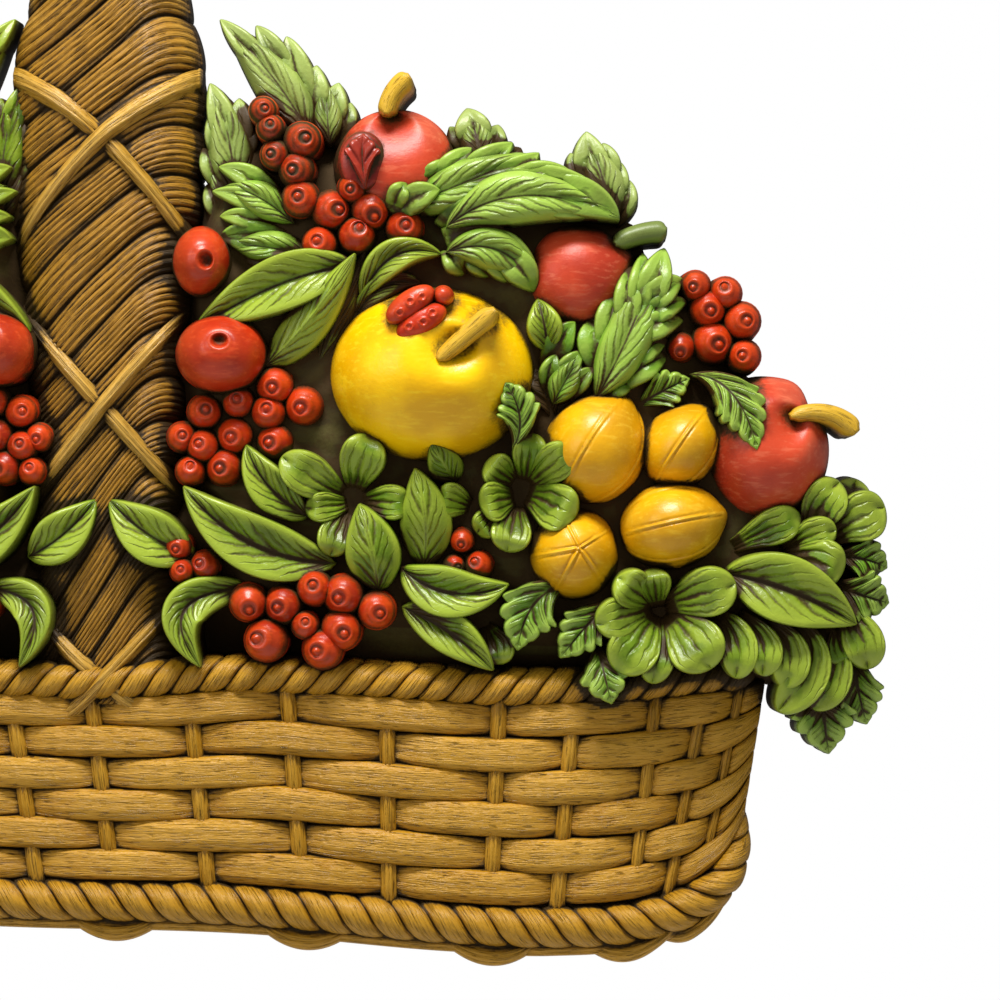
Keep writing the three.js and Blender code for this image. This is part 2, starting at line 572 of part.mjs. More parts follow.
const pieces = [
  mound(), weave(), ...feet(),
  rope(rimLine, BASKET_LEFT, BASKET_RIGHT - 4, RIM_ROPE),
  rope(baseLine, BASKET_LEFT + 8, BASKET_RIGHT - 12, BASE_ROPE),
  ...handle(), ...foliage(), ...berries(), ...fruit(),
];
const whole = pieces.reduce((sum, piece) => sum.add(piece));

// The wall: a block whose front face is the plane that the back is cut off along.
const WALL = { width: 900, depth: 60, height: 900, middle: 100 };
const wall = new THREE.BoxGeometry(WALL.width, WALL.depth, WALL.height).toNonIndexed();
wall.translate(0, WALL.depth / 2, WALL.middle);
const moulded = whole.subtract(solidOf(threes(threes([...wall.attributes.position.array]))));

const joined = moulded.getMesh();
const points = threes([...joined.vertProperties]).map((point) => new THREE.Vector3(...point));
const kept = thinned(points, threes([...joined.triVerts]), SLACK);
const geometry = new THREE.BufferGeometry();
geometry.setAttribute("position", new THREE.Float32BufferAttribute(points.flatMap((p) => p.toArray()), 3));
geometry.setIndex(kept.flat());
geometry.computeVertexNormals();

const moulding = new THREE.MeshStandardMaterial({ color: "#9a6a24", roughness: 0.45, metalness: 0 });
const plaque = new THREE.Mesh(geometry, moulding);
plaque.name = "plaque";

const group = new THREE.Group();
group.add(plaque);
export default group;
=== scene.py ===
import math

import bpy
import numpy as np
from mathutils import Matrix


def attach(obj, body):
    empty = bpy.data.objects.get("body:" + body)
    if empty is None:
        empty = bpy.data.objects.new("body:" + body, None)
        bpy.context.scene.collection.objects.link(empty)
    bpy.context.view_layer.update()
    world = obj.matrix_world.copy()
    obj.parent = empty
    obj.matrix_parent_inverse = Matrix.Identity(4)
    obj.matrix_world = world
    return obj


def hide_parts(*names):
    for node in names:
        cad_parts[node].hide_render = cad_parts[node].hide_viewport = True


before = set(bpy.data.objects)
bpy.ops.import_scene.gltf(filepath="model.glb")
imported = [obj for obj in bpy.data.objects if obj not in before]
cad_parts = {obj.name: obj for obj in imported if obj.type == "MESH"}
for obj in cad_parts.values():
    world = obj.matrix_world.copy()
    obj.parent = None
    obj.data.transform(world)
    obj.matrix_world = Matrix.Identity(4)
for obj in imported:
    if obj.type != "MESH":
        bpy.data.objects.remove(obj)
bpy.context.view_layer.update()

# The plaque is seen square on, from a few steps away, framed on its right half.
MM = 0.001
AIM = (0.158, -0.025, 0.076)
SEEN_WIDTH = 0.4
LENS, SENSOR = 135.0, 36.0
camera_data = bpy.data.cameras.new("camera")
camera_data.lens, camera_data.sensor_width = LENS, SENSOR
camera = bpy.data.objects.new("camera", camera_data)
camera.location = (AIM[0], AIM[1] - SEEN_WIDTH * LENS / SENSOR, AIM[2])
camera.rotation_euler = (math.pi / 2, 0, 0)
bpy.context.collection.objects.link(camera)
bpy.context.scene.camera = camera


# ---------------------------------------------------------------- the heaped mass behind
# The mass that leaves and fruit grow out of is part of the one moulding: a low pillow, flat against the
# wall, rough and stained dark brown, and darkened nearly to black by painted shade where it shows between
# the leaves.

# how far the left half reaches and how wide its leaves are, as shares of the right half's
LEFT_SHARE, LEFT_BREADTH = 0.8, 0.9
# how the side of every raised form turns down: (outwards, below its edge), and at last the wall
WALL_STEPS = ((0.25, 0.5), (0.6, 2.2), (1.3, None))
# how much the brown wash and painted shade darken each step of the side
WALL_WASH_AND_SHADE = (0.2, 0.45, 0.6)


def lerp(a, b, t):
    return a + (b - a) * t


def smooth(t):
    t = np.clip(t, 0, 1)
    return t * t * (3 - 2 * t)


def to_left(point):
    return (-LEFT_SHARE * point[0], point[1])


class Relief:
    """Patches of raised surface in millimetres, gathered into one mesh. Each patch is a grid of
    [x, z, rise], closed by sides that drop to the wall and by a flat back."""

    made = []

    def __init__(self, name):
        self.name = name
        self.points, self.quads, self.eyes, self.backs = [], [], [], []
        self.fields = {"stain": [], "tone": [], "shine": []}
        self.grain = []
        self.count = 0

    def _add(self, points, grain, **fields):
        first = self.count
        self.points.append(points)
        self.grain.append(grain)
        for key, values in self.fields.items():
            values.append(np.broadcast_to(fields.get(key, 0.0), len(points)))
        self.count += len(points)
        return np.arange(first, self.count)

    def patch(self, grid, grain=None, stain=0.0, tone=0.0, shine=0.0, closed=False, foot=1.0):
        """closed: the grid's columns run round a middle point, and its last row is the edge."""
        rows, columns = grid.shape[:2]
        flat = grid.reshape(-1, 3)
        if grain is None:
            grain = grid[..., :2]
        grain = np.broadcast_to(grain, (rows, columns, 2)).reshape(-1, 2)
        stain = np.broadcast_to(stain, (rows, columns)).reshape(-1)
        shine = np.broadcast_to(shine, (rows, columns)).reshape(-1)
        ids = self._add(flat, grain, stain=stain, tone=tone, shine=shine).reshape(rows, columns)
        if closed:
            ids = np.concatenate([ids, ids[:, :1]], axis=1)
        quads = np.stack([ids[:-1, :-1], ids[1:, :-1], ids[1:, 1:], ids[:-1, 1:]], axis=-1)
        quads = quads.reshape(-1, 4)
        first = self.count - len(flat)
        a, b, c, d = (flat[quads[:, k] - first, :2] for k in range(4))
        area = np.cross(c - a, d - b).sum()
        self.quads.append(quads if area > 0 else quads[:, ::-1])
        if closed:
            edge = ids[-1, :-1]
            self.eyes.append(ids[0, :-1] if area > 0 else ids[0, -2::-1])
        else:
            edge = np.concatenate([ids[0, :-1], ids[:-1, -1], ids[-1, :0:-1], ids[:0:-1, 0]])
        self._sides(edge, first, flat, grain, tone, foot)

    def _sides(self, edge, first, flat, grain, tone, foot):
        place = flat[edge - first, :2]
        rise = flat[edge - first, 2]
        x, z = place.T
        if (x * np.roll(z, -1) - np.roll(x, -1) * z).sum() < 0:
            edge, place, rise = edge[::-1], place[::-1], rise[::-1]
        along = np.roll(place, -1, axis=0) - np.roll(place, 1, axis=0)
        out = np.stack([along[:, 1], -along[:, 0]], axis=-1)
        out = out / np.maximum(np.linalg.norm(out, axis=1, keepdims=True), 1e-6)
        out = out + np.roll(out, 1, axis=0) + np.roll(out, -1, axis=0)
        out = out / np.maximum(np.linalg.norm(out, axis=1, keepdims=True), 1e-6)
        upper = edge
        edge_grain = grain[edge - first]
        for (outwards, below), stain in zip(WALL_STEPS, WALL_WASH_AND_SHADE):
            low = np.full(len(rise), foot) if below is None else np.maximum(rise - below, foot + 0.2)
            ring = np.column_stack([place + out * outwards, low])
            lower = self._add(ring, edge_grain, stain=stain, tone=tone)
            self.quads.append(np.stack([upper, lower, np.roll(lower, -1), np.roll(upper, -1)], axis=-1))
            upper = lower
        self.backs.append(upper[::-1])

    def build(self):
        points = np.concatenate(self.points)
        quads = np.concatenate(self.quads)
        mesh = bpy.data.meshes.new(self.name)
        placed = np.column_stack([points[:, 0], -points[:, 2], points[:, 1]]) * MM
        flats = self.eyes + self.backs
        corners = np.concatenate([quads.reshape(-1), *flats])
        sizes = np.concatenate([np.full(len(quads), 4), [len(flat) for flat in flats]])
        rounded = np.arange(len(sizes)) < len(quads) + len(self.eyes)
        mesh.vertices.add(len(placed))
        mesh.vertices.foreach_set("co", placed.reshape(-1))
        mesh.loops.add(len(corners))
        mesh.loops.foreach_set("vertex_index", corners.astype(np.int32))
        mesh.polygons.add(len(sizes))
        mesh.polygons.foreach_set("loop_start", (np.cumsum(sizes) - sizes).astype(np.int32))
        mesh.polygons.foreach_set("use_smooth", rounded)
        mesh.update(calc_edges=True)
        for key, values in self.fields.items():
            field = mesh.attributes.new(key, "FLOAT", "POINT")
            field.data.foreach_set("value", np.concatenate(values))
        grain = np.concatenate(self.grain)[corners]
        mesh.uv_layers.new(name="grain").data.foreach_set("uv", grain.reshape(-1).astype(np.float32))
        mesh.validate()
        piece = bpy.data.objects.new(self.name, mesh)
        bpy.context.collection.objects.link(piece)
        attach(piece, "root")
        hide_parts("plaque")
        Relief.made.append((self, piece))
        return piece


def colour(text):
    """A linear colour from the usual six hexadecimal digits."""
    parts = [int(text[k : k + 2], 16) / 255 for k in (0, 2, 4)]
    return tuple(c / 12.92 if c <= 0.04045 else ((c + 0.055) / 1.055) ** 2.4 for c in parts) + (1.0,)


def add(tree, kind, inputs=None, **settings):
    """A new node, with its settings, and with each named input set to a value or linked to a socket."""
    node = tree.nodes.new(kind)
    for key, value in settings.items():
        setattr(node, key, value)
    for key, value in (inputs or {}).items():
        if isinstance(value, bpy.types.NodeSocket):
            tree.links.new(value, node.inputs[key])
        else:
            node.inputs[key].default_value = value
    return node


def maths(tree, operation, a, b=0.0, clamp=False):
    return add(tree, "ShaderNodeMath", {0: a, 1: b}, operation=operation, use_clamp=clamp).outputs[0]


def spread(tree, value, low, high, to_low=0.0, to_high=1.0):
    """value from low..high spread over to_low..to_high, easing at both ends."""
    inputs = {"Value": value, "From Min": low, "From Max": high, "To Min": to_low, "To Max": to_high}
    return add(tree, "ShaderNodeMapRange", inputs, interpolation_type="SMOOTHSTEP").outputs[0]


def noise(tree, place, scale, detail):
    inputs = {"Vector": place, "Scale": scale, "Detail": detail}
    return add(tree, "ShaderNodeTexNoise", inputs).outputs["Fac"]


def mix(tree, share, a, b):
    node = add(tree, "ShaderNodeMix", data_type="RGBA")
    for socket, value in ((node.inputs[0], share), (node.inputs[6], a), (node.inputs[7], b)):
        if isinstance(value, bpy.types.NodeSocket):
            tree.links.new(value, socket)
        else:
            socket.default_value = value
    return node.outputs[2]


def group(name, sockets_in, sockets_out):
    """An empty node group with the named inputs, (name, type, value), and outputs, (name, type)."""
    tree = bpy.data.node_groups.new(name, "ShaderNodeTree")
    for label, kind, value in sockets_in:
        socket = tree.interface.new_socket(label, in_out="INPUT", socket_type="NodeSocket" + kind)
        if value is not None:
            socket.default_value = value
    for label, kind in sockets_out:
        tree.interface.new_socket(label, in_out="OUTPUT", socket_type="NodeSocket" + kind)
    return tree, tree.nodes.new("NodeGroupInput").outputs, tree.nodes.new("NodeGroupOutput").inputs


# The brown wash, which also paints the shade: wiped off the high places, it stays in every hollow, as wash
# and as painted shade, and speckles the rest. The dry brush then catches the raised edges, as dry brush and
# as painted highlight.
# the dark brown of the wash, which is also the colour of the painted shade
WASH_AND_SHADE_BROWN = colour("3a2806")
wash_and_shade, given, result = group(
    "brown wash and painted shade",
    [
        ("Paint", "Color", None), ("Brush", "Color", None),
        ("Amount", "Float", 1.0), ("Extra", "Float", 0.0),
    ],
    [("Paint", "Color"), ("Wash and shade", "Float")],
)
place = add(wash_and_shade, "ShaderNodeTexCoord").outputs["Object"]
hollow = add(wash_and_shade, "ShaderNodeAttribute", attribute_name="hollow").outputs["Fac"]
ridge = add(wash_and_shade, "ShaderNodeAttribute", attribute_name="ridge").outputs["Fac"]
stain = add(wash_and_shade, "ShaderNodeAttribute", attribute_name="stain").outputs["Fac"]
patchy = noise(wash_and_shade, place, 140.0, 4.0)
speckle = noise(wash_and_shade, place, 900.0, 2.0)
uneven = maths(wash_and_shade, "ADD", maths(wash_and_shade, "MULTIPLY", patchy, 0.7), maths(wash_and_shade, "MULTIPLY", speckle, 0.5))
uneven = maths(wash_and_shade, "SUBTRACT", uneven, 0.6)
depth = maths(wash_and_shade, "MAXIMUM", hollow, stain)
depth = maths(wash_and_shade, "ADD", depth, given["Extra"])
depth = maths(wash_and_shade, "ADD", maths(wash_and_shade, "MULTIPLY", depth, given["Amount"]), uneven)
stained = spread(wash_and_shade, depth, 0.12, 0.85)
# raised places take the lighter brush colour: dry brush and painted highlight
high = spread(wash_and_shade, maths(wash_and_shade, "ADD", ridge, maths(wash_and_shade, "MULTIPLY", uneven, 0.5)), 0.25, 0.8, 0.0, 0.75)
painted = mix(wash_and_shade, high, given["Paint"], given["Brush"])
wash_and_shade.links.new(mix(wash_and_shade, stained, painted, WASH_AND_SHADE_BROWN), result["Paint"])
wash_and_shade.links.new(stained, result["Wash and shade"])


def finish(name, paint, gloss=0.35, dull=0.6, bump=None, bump_depth=0.3):
    """A satin painted material. paint(tree) returns the washed paint, with its painted shade and highlight,
    and how much wash and painted shade it has.
    """
    material = bpy.data.materials.new(name)
    material.use_nodes = True
    tree = material.node_tree
    shader = tree.nodes["Principled BSDF"]
    painted, stained = paint(tree)
    tree.links.new(painted, shader.inputs["Base Color"])
    tree.links.new(spread(tree, stained, 0.1, 0.9, gloss, dull), shader.inputs["Roughness"])
    shader.inputs["Specular IOR Level"].default_value = 0.35
    place = add(tree, "ShaderNodeTexCoord").outputs["Object"]
    height = maths(tree, "MULTIPLY", noise(tree, place, 700.0, 3.0), 0.35)
    if bump:
        height = maths(tree, "ADD", height, bump(tree))
    normal = add(tree, "ShaderNodeBump", {"Height": height, "Distance": bump_depth * MM, "Strength": 0.9})
    tree.links.new(normal.outputs[0], shader.inputs["Normal"])
    return material


def washed_and_shaded(tree, paint, brush_and_highlight, amount=1.0, extra=0.0):
    node = add(tree, "ShaderNodeGroup", node_tree=wash_and_shade)
    for key, value in (("Paint", paint), ("Brush", brush_and_highlight), ("Amount", amount), ("Extra", extra)):
        if isinstance(value, bpy.types.NodeSocket):
            tree.links.new(value, node.inputs[key])
        else:
            node.inputs[key].default_value = value
    return node.outputs["Paint"], node.outputs["Wash and shade"]


MOUND_RIGHT = (
    (30, 188), (60, 232), (90, 224), (118, 226), (146, 217), (182, 203), (214, 188), (222, 168),
    (254, 156), (258, 128), (274, 116), (290, 84), (303, 60), (307, 36), (302, 4), (284, -2), (254, 4),
)
MOUND_CENTRE = (20, 100)
MOUND_RISE, MOUND_SWELL, MOUND_EDGE_DROP, MOUND_LEAST = 19.0, 14, 7, 2.0
HANDLE_TROUGH, KNOB = 18, 0.8

mound = Relief("mound")
outline = list(MOUND_RIGHT) + [to_left(p) for p in reversed(MOUND_RIGHT)]
ring = np.array([
    [lerp(a, b, t) for a, b in zip(here, there)]
    for here, there in zip(outline, outline[1:] + outline[:1])
    for t in np.arange(8) / 8
])
share = np.linspace(0.02, 0.985, 64)[:, None, None]
grid = lerp(np.array(MOUND_CENTRE)[None, None], ring[None], share)
x, z = grid[..., 0], grid[..., 1]
knobs = np.sin(x / 3.1 + 2 * np.sin(z / 7.7)) * np.sin(z / 3.3 + np.sin(x / 9))
inward = np.linalg.norm((1 - share) * (ring - np.array(MOUND_CENTRE)), axis=-1)
rise = MOUND_RISE - MOUND_EDGE_DROP * smooth((share[..., 0] - 0.9) / 0.1) + MOUND_SWELL * smooth(inward / 50)
behind_handle = 1 - smooth((np.abs(x) - 33) / 12)
rise = np.maximum(rise + KNOB * knobs - HANDLE_TROUGH * behind_handle, MOUND_LEAST)
mound.patch(np.dstack([grid, rise]), stain=0.4, closed=True, foot=0.0)
mound = mound.build()
mound.data.materials.append(finish(
    "stained ground", lambda tree: washed_and_shaded(tree, colour("3a300e"), colour("524c1c"), 0.9, 0.05),
    gloss=0.8, dull=0.85, bump_depth=0.5,
))


# ---------------------------------------------------------------- the basket's woven front
# Flat split canes, pressed round upright stakes in a plain weave, here as one moulded sheet: pillow-shaped
# strips over a stained ground, which painted shade darkens further, with the stakes showing between their
# ends.

BASKET_RIGHT = 265.0
BASKET_LEFT = -LEFT_SHARE * BASKET_RIGHT
BASKET_RISE, BASKET_END_RISE = 34.0, 9.0
ROWS, FIRST_ROW, ROW_PITCH = 6, 0.135, 0.1405
# the stakes' places along the rim and along the base: they lean in towards the basket's foot
STAKES = (
    (-180, -166), (-150, -135), (-109, -95), (-72, -59), (-37, -25), (-5, 5), (34, 43), (73, 80),
    (113, 114), (158, 154), (188, 180), (221, 210), (241, 224), (256, 238),
)
FIRST_STAKE = -5
ENDS = ((BASKET_LEFT, BASKET_LEFT + 16), (BASKET_RIGHT, BASKET_RIGHT - 11))


def line_through(places):
    """The smooth curve through a few [x, z] places, read by x."""
    places = np.array(places, float)
    x, z = places.T
    slope = np.gradient(z, x)

    def read(at):
        at = np.asarray(at, float)
        k = np.clip(np.searchsorted(x, at) - 1, 0, len(x) - 2)
        gap = x[k + 1] - x[k]
        t = (at - x[k]) / gap
        return (
            (2 * t**3 - 3 * t**2 + 1) * z[k] + (t**3 - 2 * t**2 + t) * gap * slope[k]
            + (3 * t**2 - 2 * t**3) * z[k + 1] + (t**3 - t**2) * gap * slope[k + 1]
        )

    return read


rim_line = line_through([
    (-214, 11), (-122, 7), (-40, 4.5), (26, 4), (58, 7), (94, 5), (174, 1), (214, 3), (267, 8),
])
base_line = line_through([
    (-214, -48), (-198, -68), (-122, -78), (-40, -82), (58, -85), (138, -92), (178, -94),
    (218, -90), (236, -83), (250, -68), (256, -55),
])


def basket_rise(x):
    middle = (BASKET_LEFT + BASKET_RIGHT) / 2
    share = np.clip(np.abs(x - middle) / (BASKET_RIGHT - middle), 0, 1)
    return BASKET_END_RISE + (BASKET_RISE - BASKET_END_RISE) * np.sqrt(1 - share**4)


def on_basket(top, foot, down, stand):
    """[x, z, rise] down the line from top, at the rim, to foot, at the base rope."""
    x = lerp(top, foot, down)
    z = lerp(rim_line(top), base_line(foot), down)
    return np.stack(np.broadcast_arrays(x, z, basket_rise(lerp(top, x, 0.5)) + stand), axis=-1)


def hashed(*numbers):
    """A number in 0..1 that looks random, from the given ones."""
    return math.sin(sum(n * k for n, k in zip(numbers, (12.9898, 78.233, 37.719)))) * 43758.5453 % 1


basket = Relief("basket")
uprights = (ENDS[0],) + STAKES + (ENDS[1],)
across = np.linspace(0, 1, 110)[:, None]
down = np.linspace(-0.06, 1.04, 30)[None]
tops = np.interp(across, np.linspace(0, 1, len(uprights)), [u[0] for u in uprights])
feet = np.interp(across, np.linspace(0, 1, len(uprights)), [u[1] for u in uprights])
basket.patch(on_basket(tops, feet, down, -1.5), stain=0.75, foot=0.0)

STRIP_HALF, STRIP_BULGE, STRIP_STEP = 0.5, 5.2, 1.5
for row in range(1, ROWS + 1):
    middle = FIRST_ROW + ROW_PITCH * (row - 1)
    for k in range(len(uprights)):
        number = FIRST_STAKE + k - 1
        if (number + row) % 2:
            continue
        left, right = uprights[max(k - 1, 0)], uprights[min(k + 1, len(uprights) - 1)]
        length = right[0] - left[0]
        steps = max(12, int(length / STRIP_STEP))
        s = np.linspace(-1, 1, steps)[:, None]
        v = np.sin(np.linspace(-1, 1, 15) * math.pi / 2)[None]
        end = np.abs(s)
        if k <= 1:
            end = np.where(s < 0, 0, end)
        if k >= len(uprights) - 2:
            end = np.where(s > 0, 0, end)
        bow = (hashed(row, k) - 0.5) * 0.10
        narrow = 1 - 0.16 * smooth((end - 0.6) / 0.4) - 0.18 * smooth((end - 0.92) / 0.08)
        place = middle + ROW_PITCH * (STRIP_HALF * v * narrow + bow * (1 - s * s))
        bulge = STRIP_BULGE * (1 - end**2.6) + 0.6
        pillow = np.sqrt(np.clip(1 - np.abs(v) ** 3.0, 0, 1))
        stand = -1.4 + (bulge + 1.4) * (0.55 + 0.45 * pillow) + 0.25 * np.sin(v * 9 + hashed(k, row) * 6)
        top, foot = (lerp(left[line], right[line], (s + 1) / 2) for line in (0, 1))
        grid = on_basket(top, foot, place, stand)
        offset = 40 * hashed(row, number)
        grain = np.stack(np.broadcast_arrays(s * length / 2 + offset, v * 6 + offset), axis=-1)
        ends_stain = 0.45 * smooth((end - 0.75) / 0.25) * np.ones_like(v)
        basket.patch(grid, grain=grain, stain=ends_stain, tone=hashed(number, row, 3))

# the stakes show where no strip lies over them
STAKE_HALF, END_STAKE_HALF, STAKE_STAND = 3.1, 2.5, 4.3
for k, (top, foot) in enumerate(STAKES):
    number = FIRST_STAKE + k
    half = STAKE_HALF if 0 < k < 11 else END_STAKE_HALF
    for row in range(1, ROWS + 1):
        if (number + row) % 2 == 0:
            continue
        s = np.linspace(-1, 1, 16)[None]
        v = np.sin(np.linspace(-1, 1, 13) * math.pi / 2)[:, None]
        place = FIRST_ROW + ROW_PITCH * (row - 1 + 0.78 * s)
        stand = STAKE_STAND * np.sqrt(np.clip(1 - (0.93 * v) ** 2, 0, 1))
        stand = stand - 0.5 * np.cos(v * 10) - 1.5 * s * s
        grid = on_basket(top + v * half, foot + v * half, place, stand)
        grain = np.stack(np.broadcast_arrays(s * 8 + 9 * k, v * 3 + 5 * row), axis=-1)
        stain = 0.45 * smooth((np.abs(s) - 0.7) / 0.3) + 0 * v
        basket.patch(grid, grain=grain, stain=stain, tone=hashed(row, k))
basket = basket.build()

# Grain along the canes: fine dark lines and lighter ones between, read from the grain map, which
# runs in millimetres along and across each cane.
fibre, given, result = group(
    "cane grain", [], [("Dark lines", "Float"), ("Light lines", "Float"), ("Height", "Float")]
)
grain_map = add(fibre, "ShaderNodeUVMap", uv_map="grain").outputs[0]
lines = []
for along, across_scale in ((0.06, 0.9), (0.13, 2.4)):
    drawn = add(fibre, "ShaderNodeMapping", {"Vector": grain_map, "Scale": (along, across_scale, 1.0)})
    lines.append(noise(fibre, drawn.outputs[0], 1.0, 3.0))
dark = maths(fibre, "MULTIPLY", spread(fibre, lines[0], 0.45, 0.33), 0.55)
dark = maths(fibre, "ADD", dark, spread(fibre, lines[1], 0.40, 0.33))
fibre.links.new(dark, result["Dark lines"])
fibre.links.new(spread(fibre, lines[1], 0.5, 0.7), result["Light lines"])
fibre.links.new(maths(fibre, "SUBTRACT", lines[1], maths(fibre, "MULTIPLY", dark, 0.8)), result["Height"])


def cane(deep, body, light, amount=1.0):
    """Cane paint: deep in the grain's lines, light between them. amount: how much wash and painted shade it
    takes.
    """

    def paint(tree):
        lines = add(tree, "ShaderNodeGroup", node_tree=fibre)
        tone = add(tree, "ShaderNodeAttribute", attribute_name="tone").outputs["Fac"]
        mixed = mix(tree, spread(tree, tone, 0.0, 1.0, 0.0, 0.35), colour(body), colour(light))
        mixed = mix(tree, maths(tree, "MULTIPLY", lines.outputs["Light lines"], 0.5), mixed, colour(light))
        dark = maths(tree, "MULTIPLY", lines.outputs["Dark lines"], 0.75, clamp=True)
        mixed = mix(tree, dark, mixed, colour(deep))
        return washed_and_shaded(tree, mixed, mix(tree, 0.5, mixed, colour(light)), amount)

    return paint


def cane_bump(tree):
    return maths(tree, "MULTIPLY", add(tree, "ShaderNodeGroup", node_tree=fibre).outputs["Height"], 1.6)


wicker_paint = cane("452a08", "a8760e", "cc9c34", 0.85)
wicker = finish("painted wicker", wicker_paint, gloss=0.36, bump=cane_bump, bump_depth=0.45)
basket.data.materials.append(wicker)


# ---------------------------------------------------------------- the basket's rim and foot
# Two thick ropes of twisted cane, half round, bind the weave along its top and its foot. Under
# the lower one the stakes' ends are bent over in loops.

# half height, how far it stands out of the basket, the pitch of its twists, their lean, strands
RIM_ROPE = (7.6, 8.0, 11.0, 0.85, 4)
BASE_ROPE = (8.4, 10.0, 12.5, -0.8, 4)


def path_through(places):
    """The smooth curve through the places, read by the length along it, and its whole length."""
    places = np.array(places, float)
    knots = np.concatenate([[0], np.cumsum(np.linalg.norm(np.diff(places, axis=0), axis=1))])
    fine = np.linspace(0, knots[-1], 1200)
    lines = (line_through(np.column_stack([knots, places[:, k]])) for k in (0, 1))
    curve = np.stack([line(fine) for line in lines], axis=-1)
    run = np.concatenate([[0], np.cumsum(np.linalg.norm(np.diff(curve, axis=0), axis=1))])
    return lambda at: np.stack([np.interp(at, run, curve[:, k]) for k in (0, 1)], axis=-1), run[-1]


def rope(piece, places, size, tone, taper=0.0):
    """A rope along a path, drawn in over its last few millimetres where it has a taper."""
    half, stand, pitch, lean, strands = size
    read, length = path_through(places)
    twists = round(length / pitch)
    along = np.linspace(0, twists, twists * 14 + 1)[:, None]
    wave = np.abs(np.sin((along % 1.0) * math.pi))
    s = np.sin(np.linspace(-1, 1, 19) * math.pi / 2)[None]
    drawn = np.clip((twists - along) * pitch / taper, 0.12, 1) ** 0.6 if taper else 1.0
    width = half * (0.86 + 0.14 * wave**0.6) * drawn
    run = along * pitch * length / (twists * pitch) + lean * half * drawn * (s * 0.75 + 0.25 * s**3)
    at = read(np.clip(run, 0, length))
    way = read(np.clip(run + 0.5, 0.5, length)) - read(np.clip(run - 0.5, 0, length - 0.5))
    way = way / np.linalg.norm(way, axis=-1, keepdims=True)
    x, z = at[..., 0] - s * width * way[..., 1], at[..., 1] + s * width * way[..., 0]
    hair = 0.5 * np.abs(np.sin((along % 1.0) * math.pi * strands)) ** 0.7
    dome = np.sqrt(np.clip(1 - (0.97 * s) ** 2, 0, 1))
    swell = (stand + 3) * drawn * dome * (0.62 + 0.38 * wave**0.45)
    rise = basket_rise(at[..., 0]) - 3 + swell + hair * drawn
    grain = np.stack(np.broadcast_arrays(s * half + 31 * np.floor(along + 1e-6), along * pitch), axis=-1)
    stain = 0.7 * (1 - wave**0.35) + 0.3 * smooth((np.abs(s) - 0.8) / 0.2)
    piece.patch(np.dstack([x, z, rise]), grain=grain, stain=stain, tone=tone)


ropes = Relief("ropes")
rim_path = [(x, float(rim_line(x))) for x in np.linspace(BASKET_LEFT, BASKET_RIGHT - 3, 12)]
rope(ropes, rim_path, RIM_ROPE, 0.5)
rope(ropes, (
    (-204, -52), (-198, -66), (-180, -74), (-122, -78), (-40, -82), (58, -85), (138, -92), (178, -94),
    (212, -92), (232, -86.5), (243, -79), (249.5, -70), (253, -60), (254, -48),
), BASE_ROPE, 0.3, taper=34.0)
# a single cane lies under the lower rope, and every other stake's end is bent over below it
s = np.linspace(0, 1, 300)[:, None]
v = np.sin(np.linspace(-1, 1, 15) * math.pi / 2)[None]
x = lerp(BASKET_LEFT + 14, BASKET_RIGHT - 25, s) + 0 * v
z = base_line(x) - 8.2 + 3.2 * v
rise = basket_rise(x) - 2 + 2.5 * np.sqrt(1 - (0.95 * v) ** 2) - 0.7 * np.abs(np.cos(v * 4.7)) ** 4
ropes.patch(np.dstack([x, z, rise]), grain=np.stack([x, 3 * v + 0 * x], axis=-1), stain=0.3, tone=0.2)
LOOP_REACH, LOOP_DROP, LOOP_HALF = 18, 6.0, 3.4
for k, (top, foot) in list(enumerate(STAKES))[1::2]:
    s = np.linspace(-1, 1, 50)[:, None]
    x = foot + s * LOOP_REACH + 0 * v
    z = base_line(x) - 6.5 - LOOP_DROP * (1 - s * s) + v * LOOP_HALF * (1 - 0.35 * s * s)
    rise = basket_rise(foot) - 1.5 + 4 * np.sqrt(1 - (0.95 * v) ** 2) - 0.8 * np.abs(np.cos(v * 4.7)) ** 4
    grain = np.stack(np.broadcast_arrays(s * 20 + 13 * k, v * 4), axis=-1)
    ropes.patch(np.dstack([x, z, rise - 2.5 * s * s]), grain=grain, tone=hashed(k))
ropes = ropes.build()
ropes.data.materials.append(wicker)


# ---------------------------------------------------------------- the handle
# A thick half-round handle of cane strands in slanting bundles. A pair of smooth canes binds it,
# crossing on its front every 108 mm. Its upper end turns back towards the wall.

HANDLE_TOP, HANDLE_FOOT = 365.2, -5.0
HANDLE_CROWN, HANDLE_SIDE = 36.0, 11.0
BUNDLE_PITCH, STRANDS = 21.0, 7
BUNDLE_STAND, STRAND_STAND = 3.8, 1.3
BINDING_HALF, BINDING_STAND, CROSSING_LIFT = 4.9, 5.6, 2.2
# where each pair of bindings crosses, and how far it climbs and falls from there to the sides
BINDINGS = ((4.0, 33.0, 22.0), (112.0, 39.0, 33.0), (219.0, 27.0, 41.0), (328.0, 24.0, 30.0))


def handle_half(z):
    return 31 + 6.2 * smooth((z - 120) / 80) - 7.5 * smooth((z - 246) / 42)


def handle_draw(z):
    past = np.clip((z - (HANDLE_TOP - 36)) / 36, 0, 0.999)
    return np.sqrt(1 - past * past)


def handle_rise(share, z):
    crown = HANDLE_SIDE + (HANDLE_CROWN - HANDLE_SIDE) * np.sqrt(np.clip(1 - share * share, 0, 1))
    return crown * handle_draw(z)


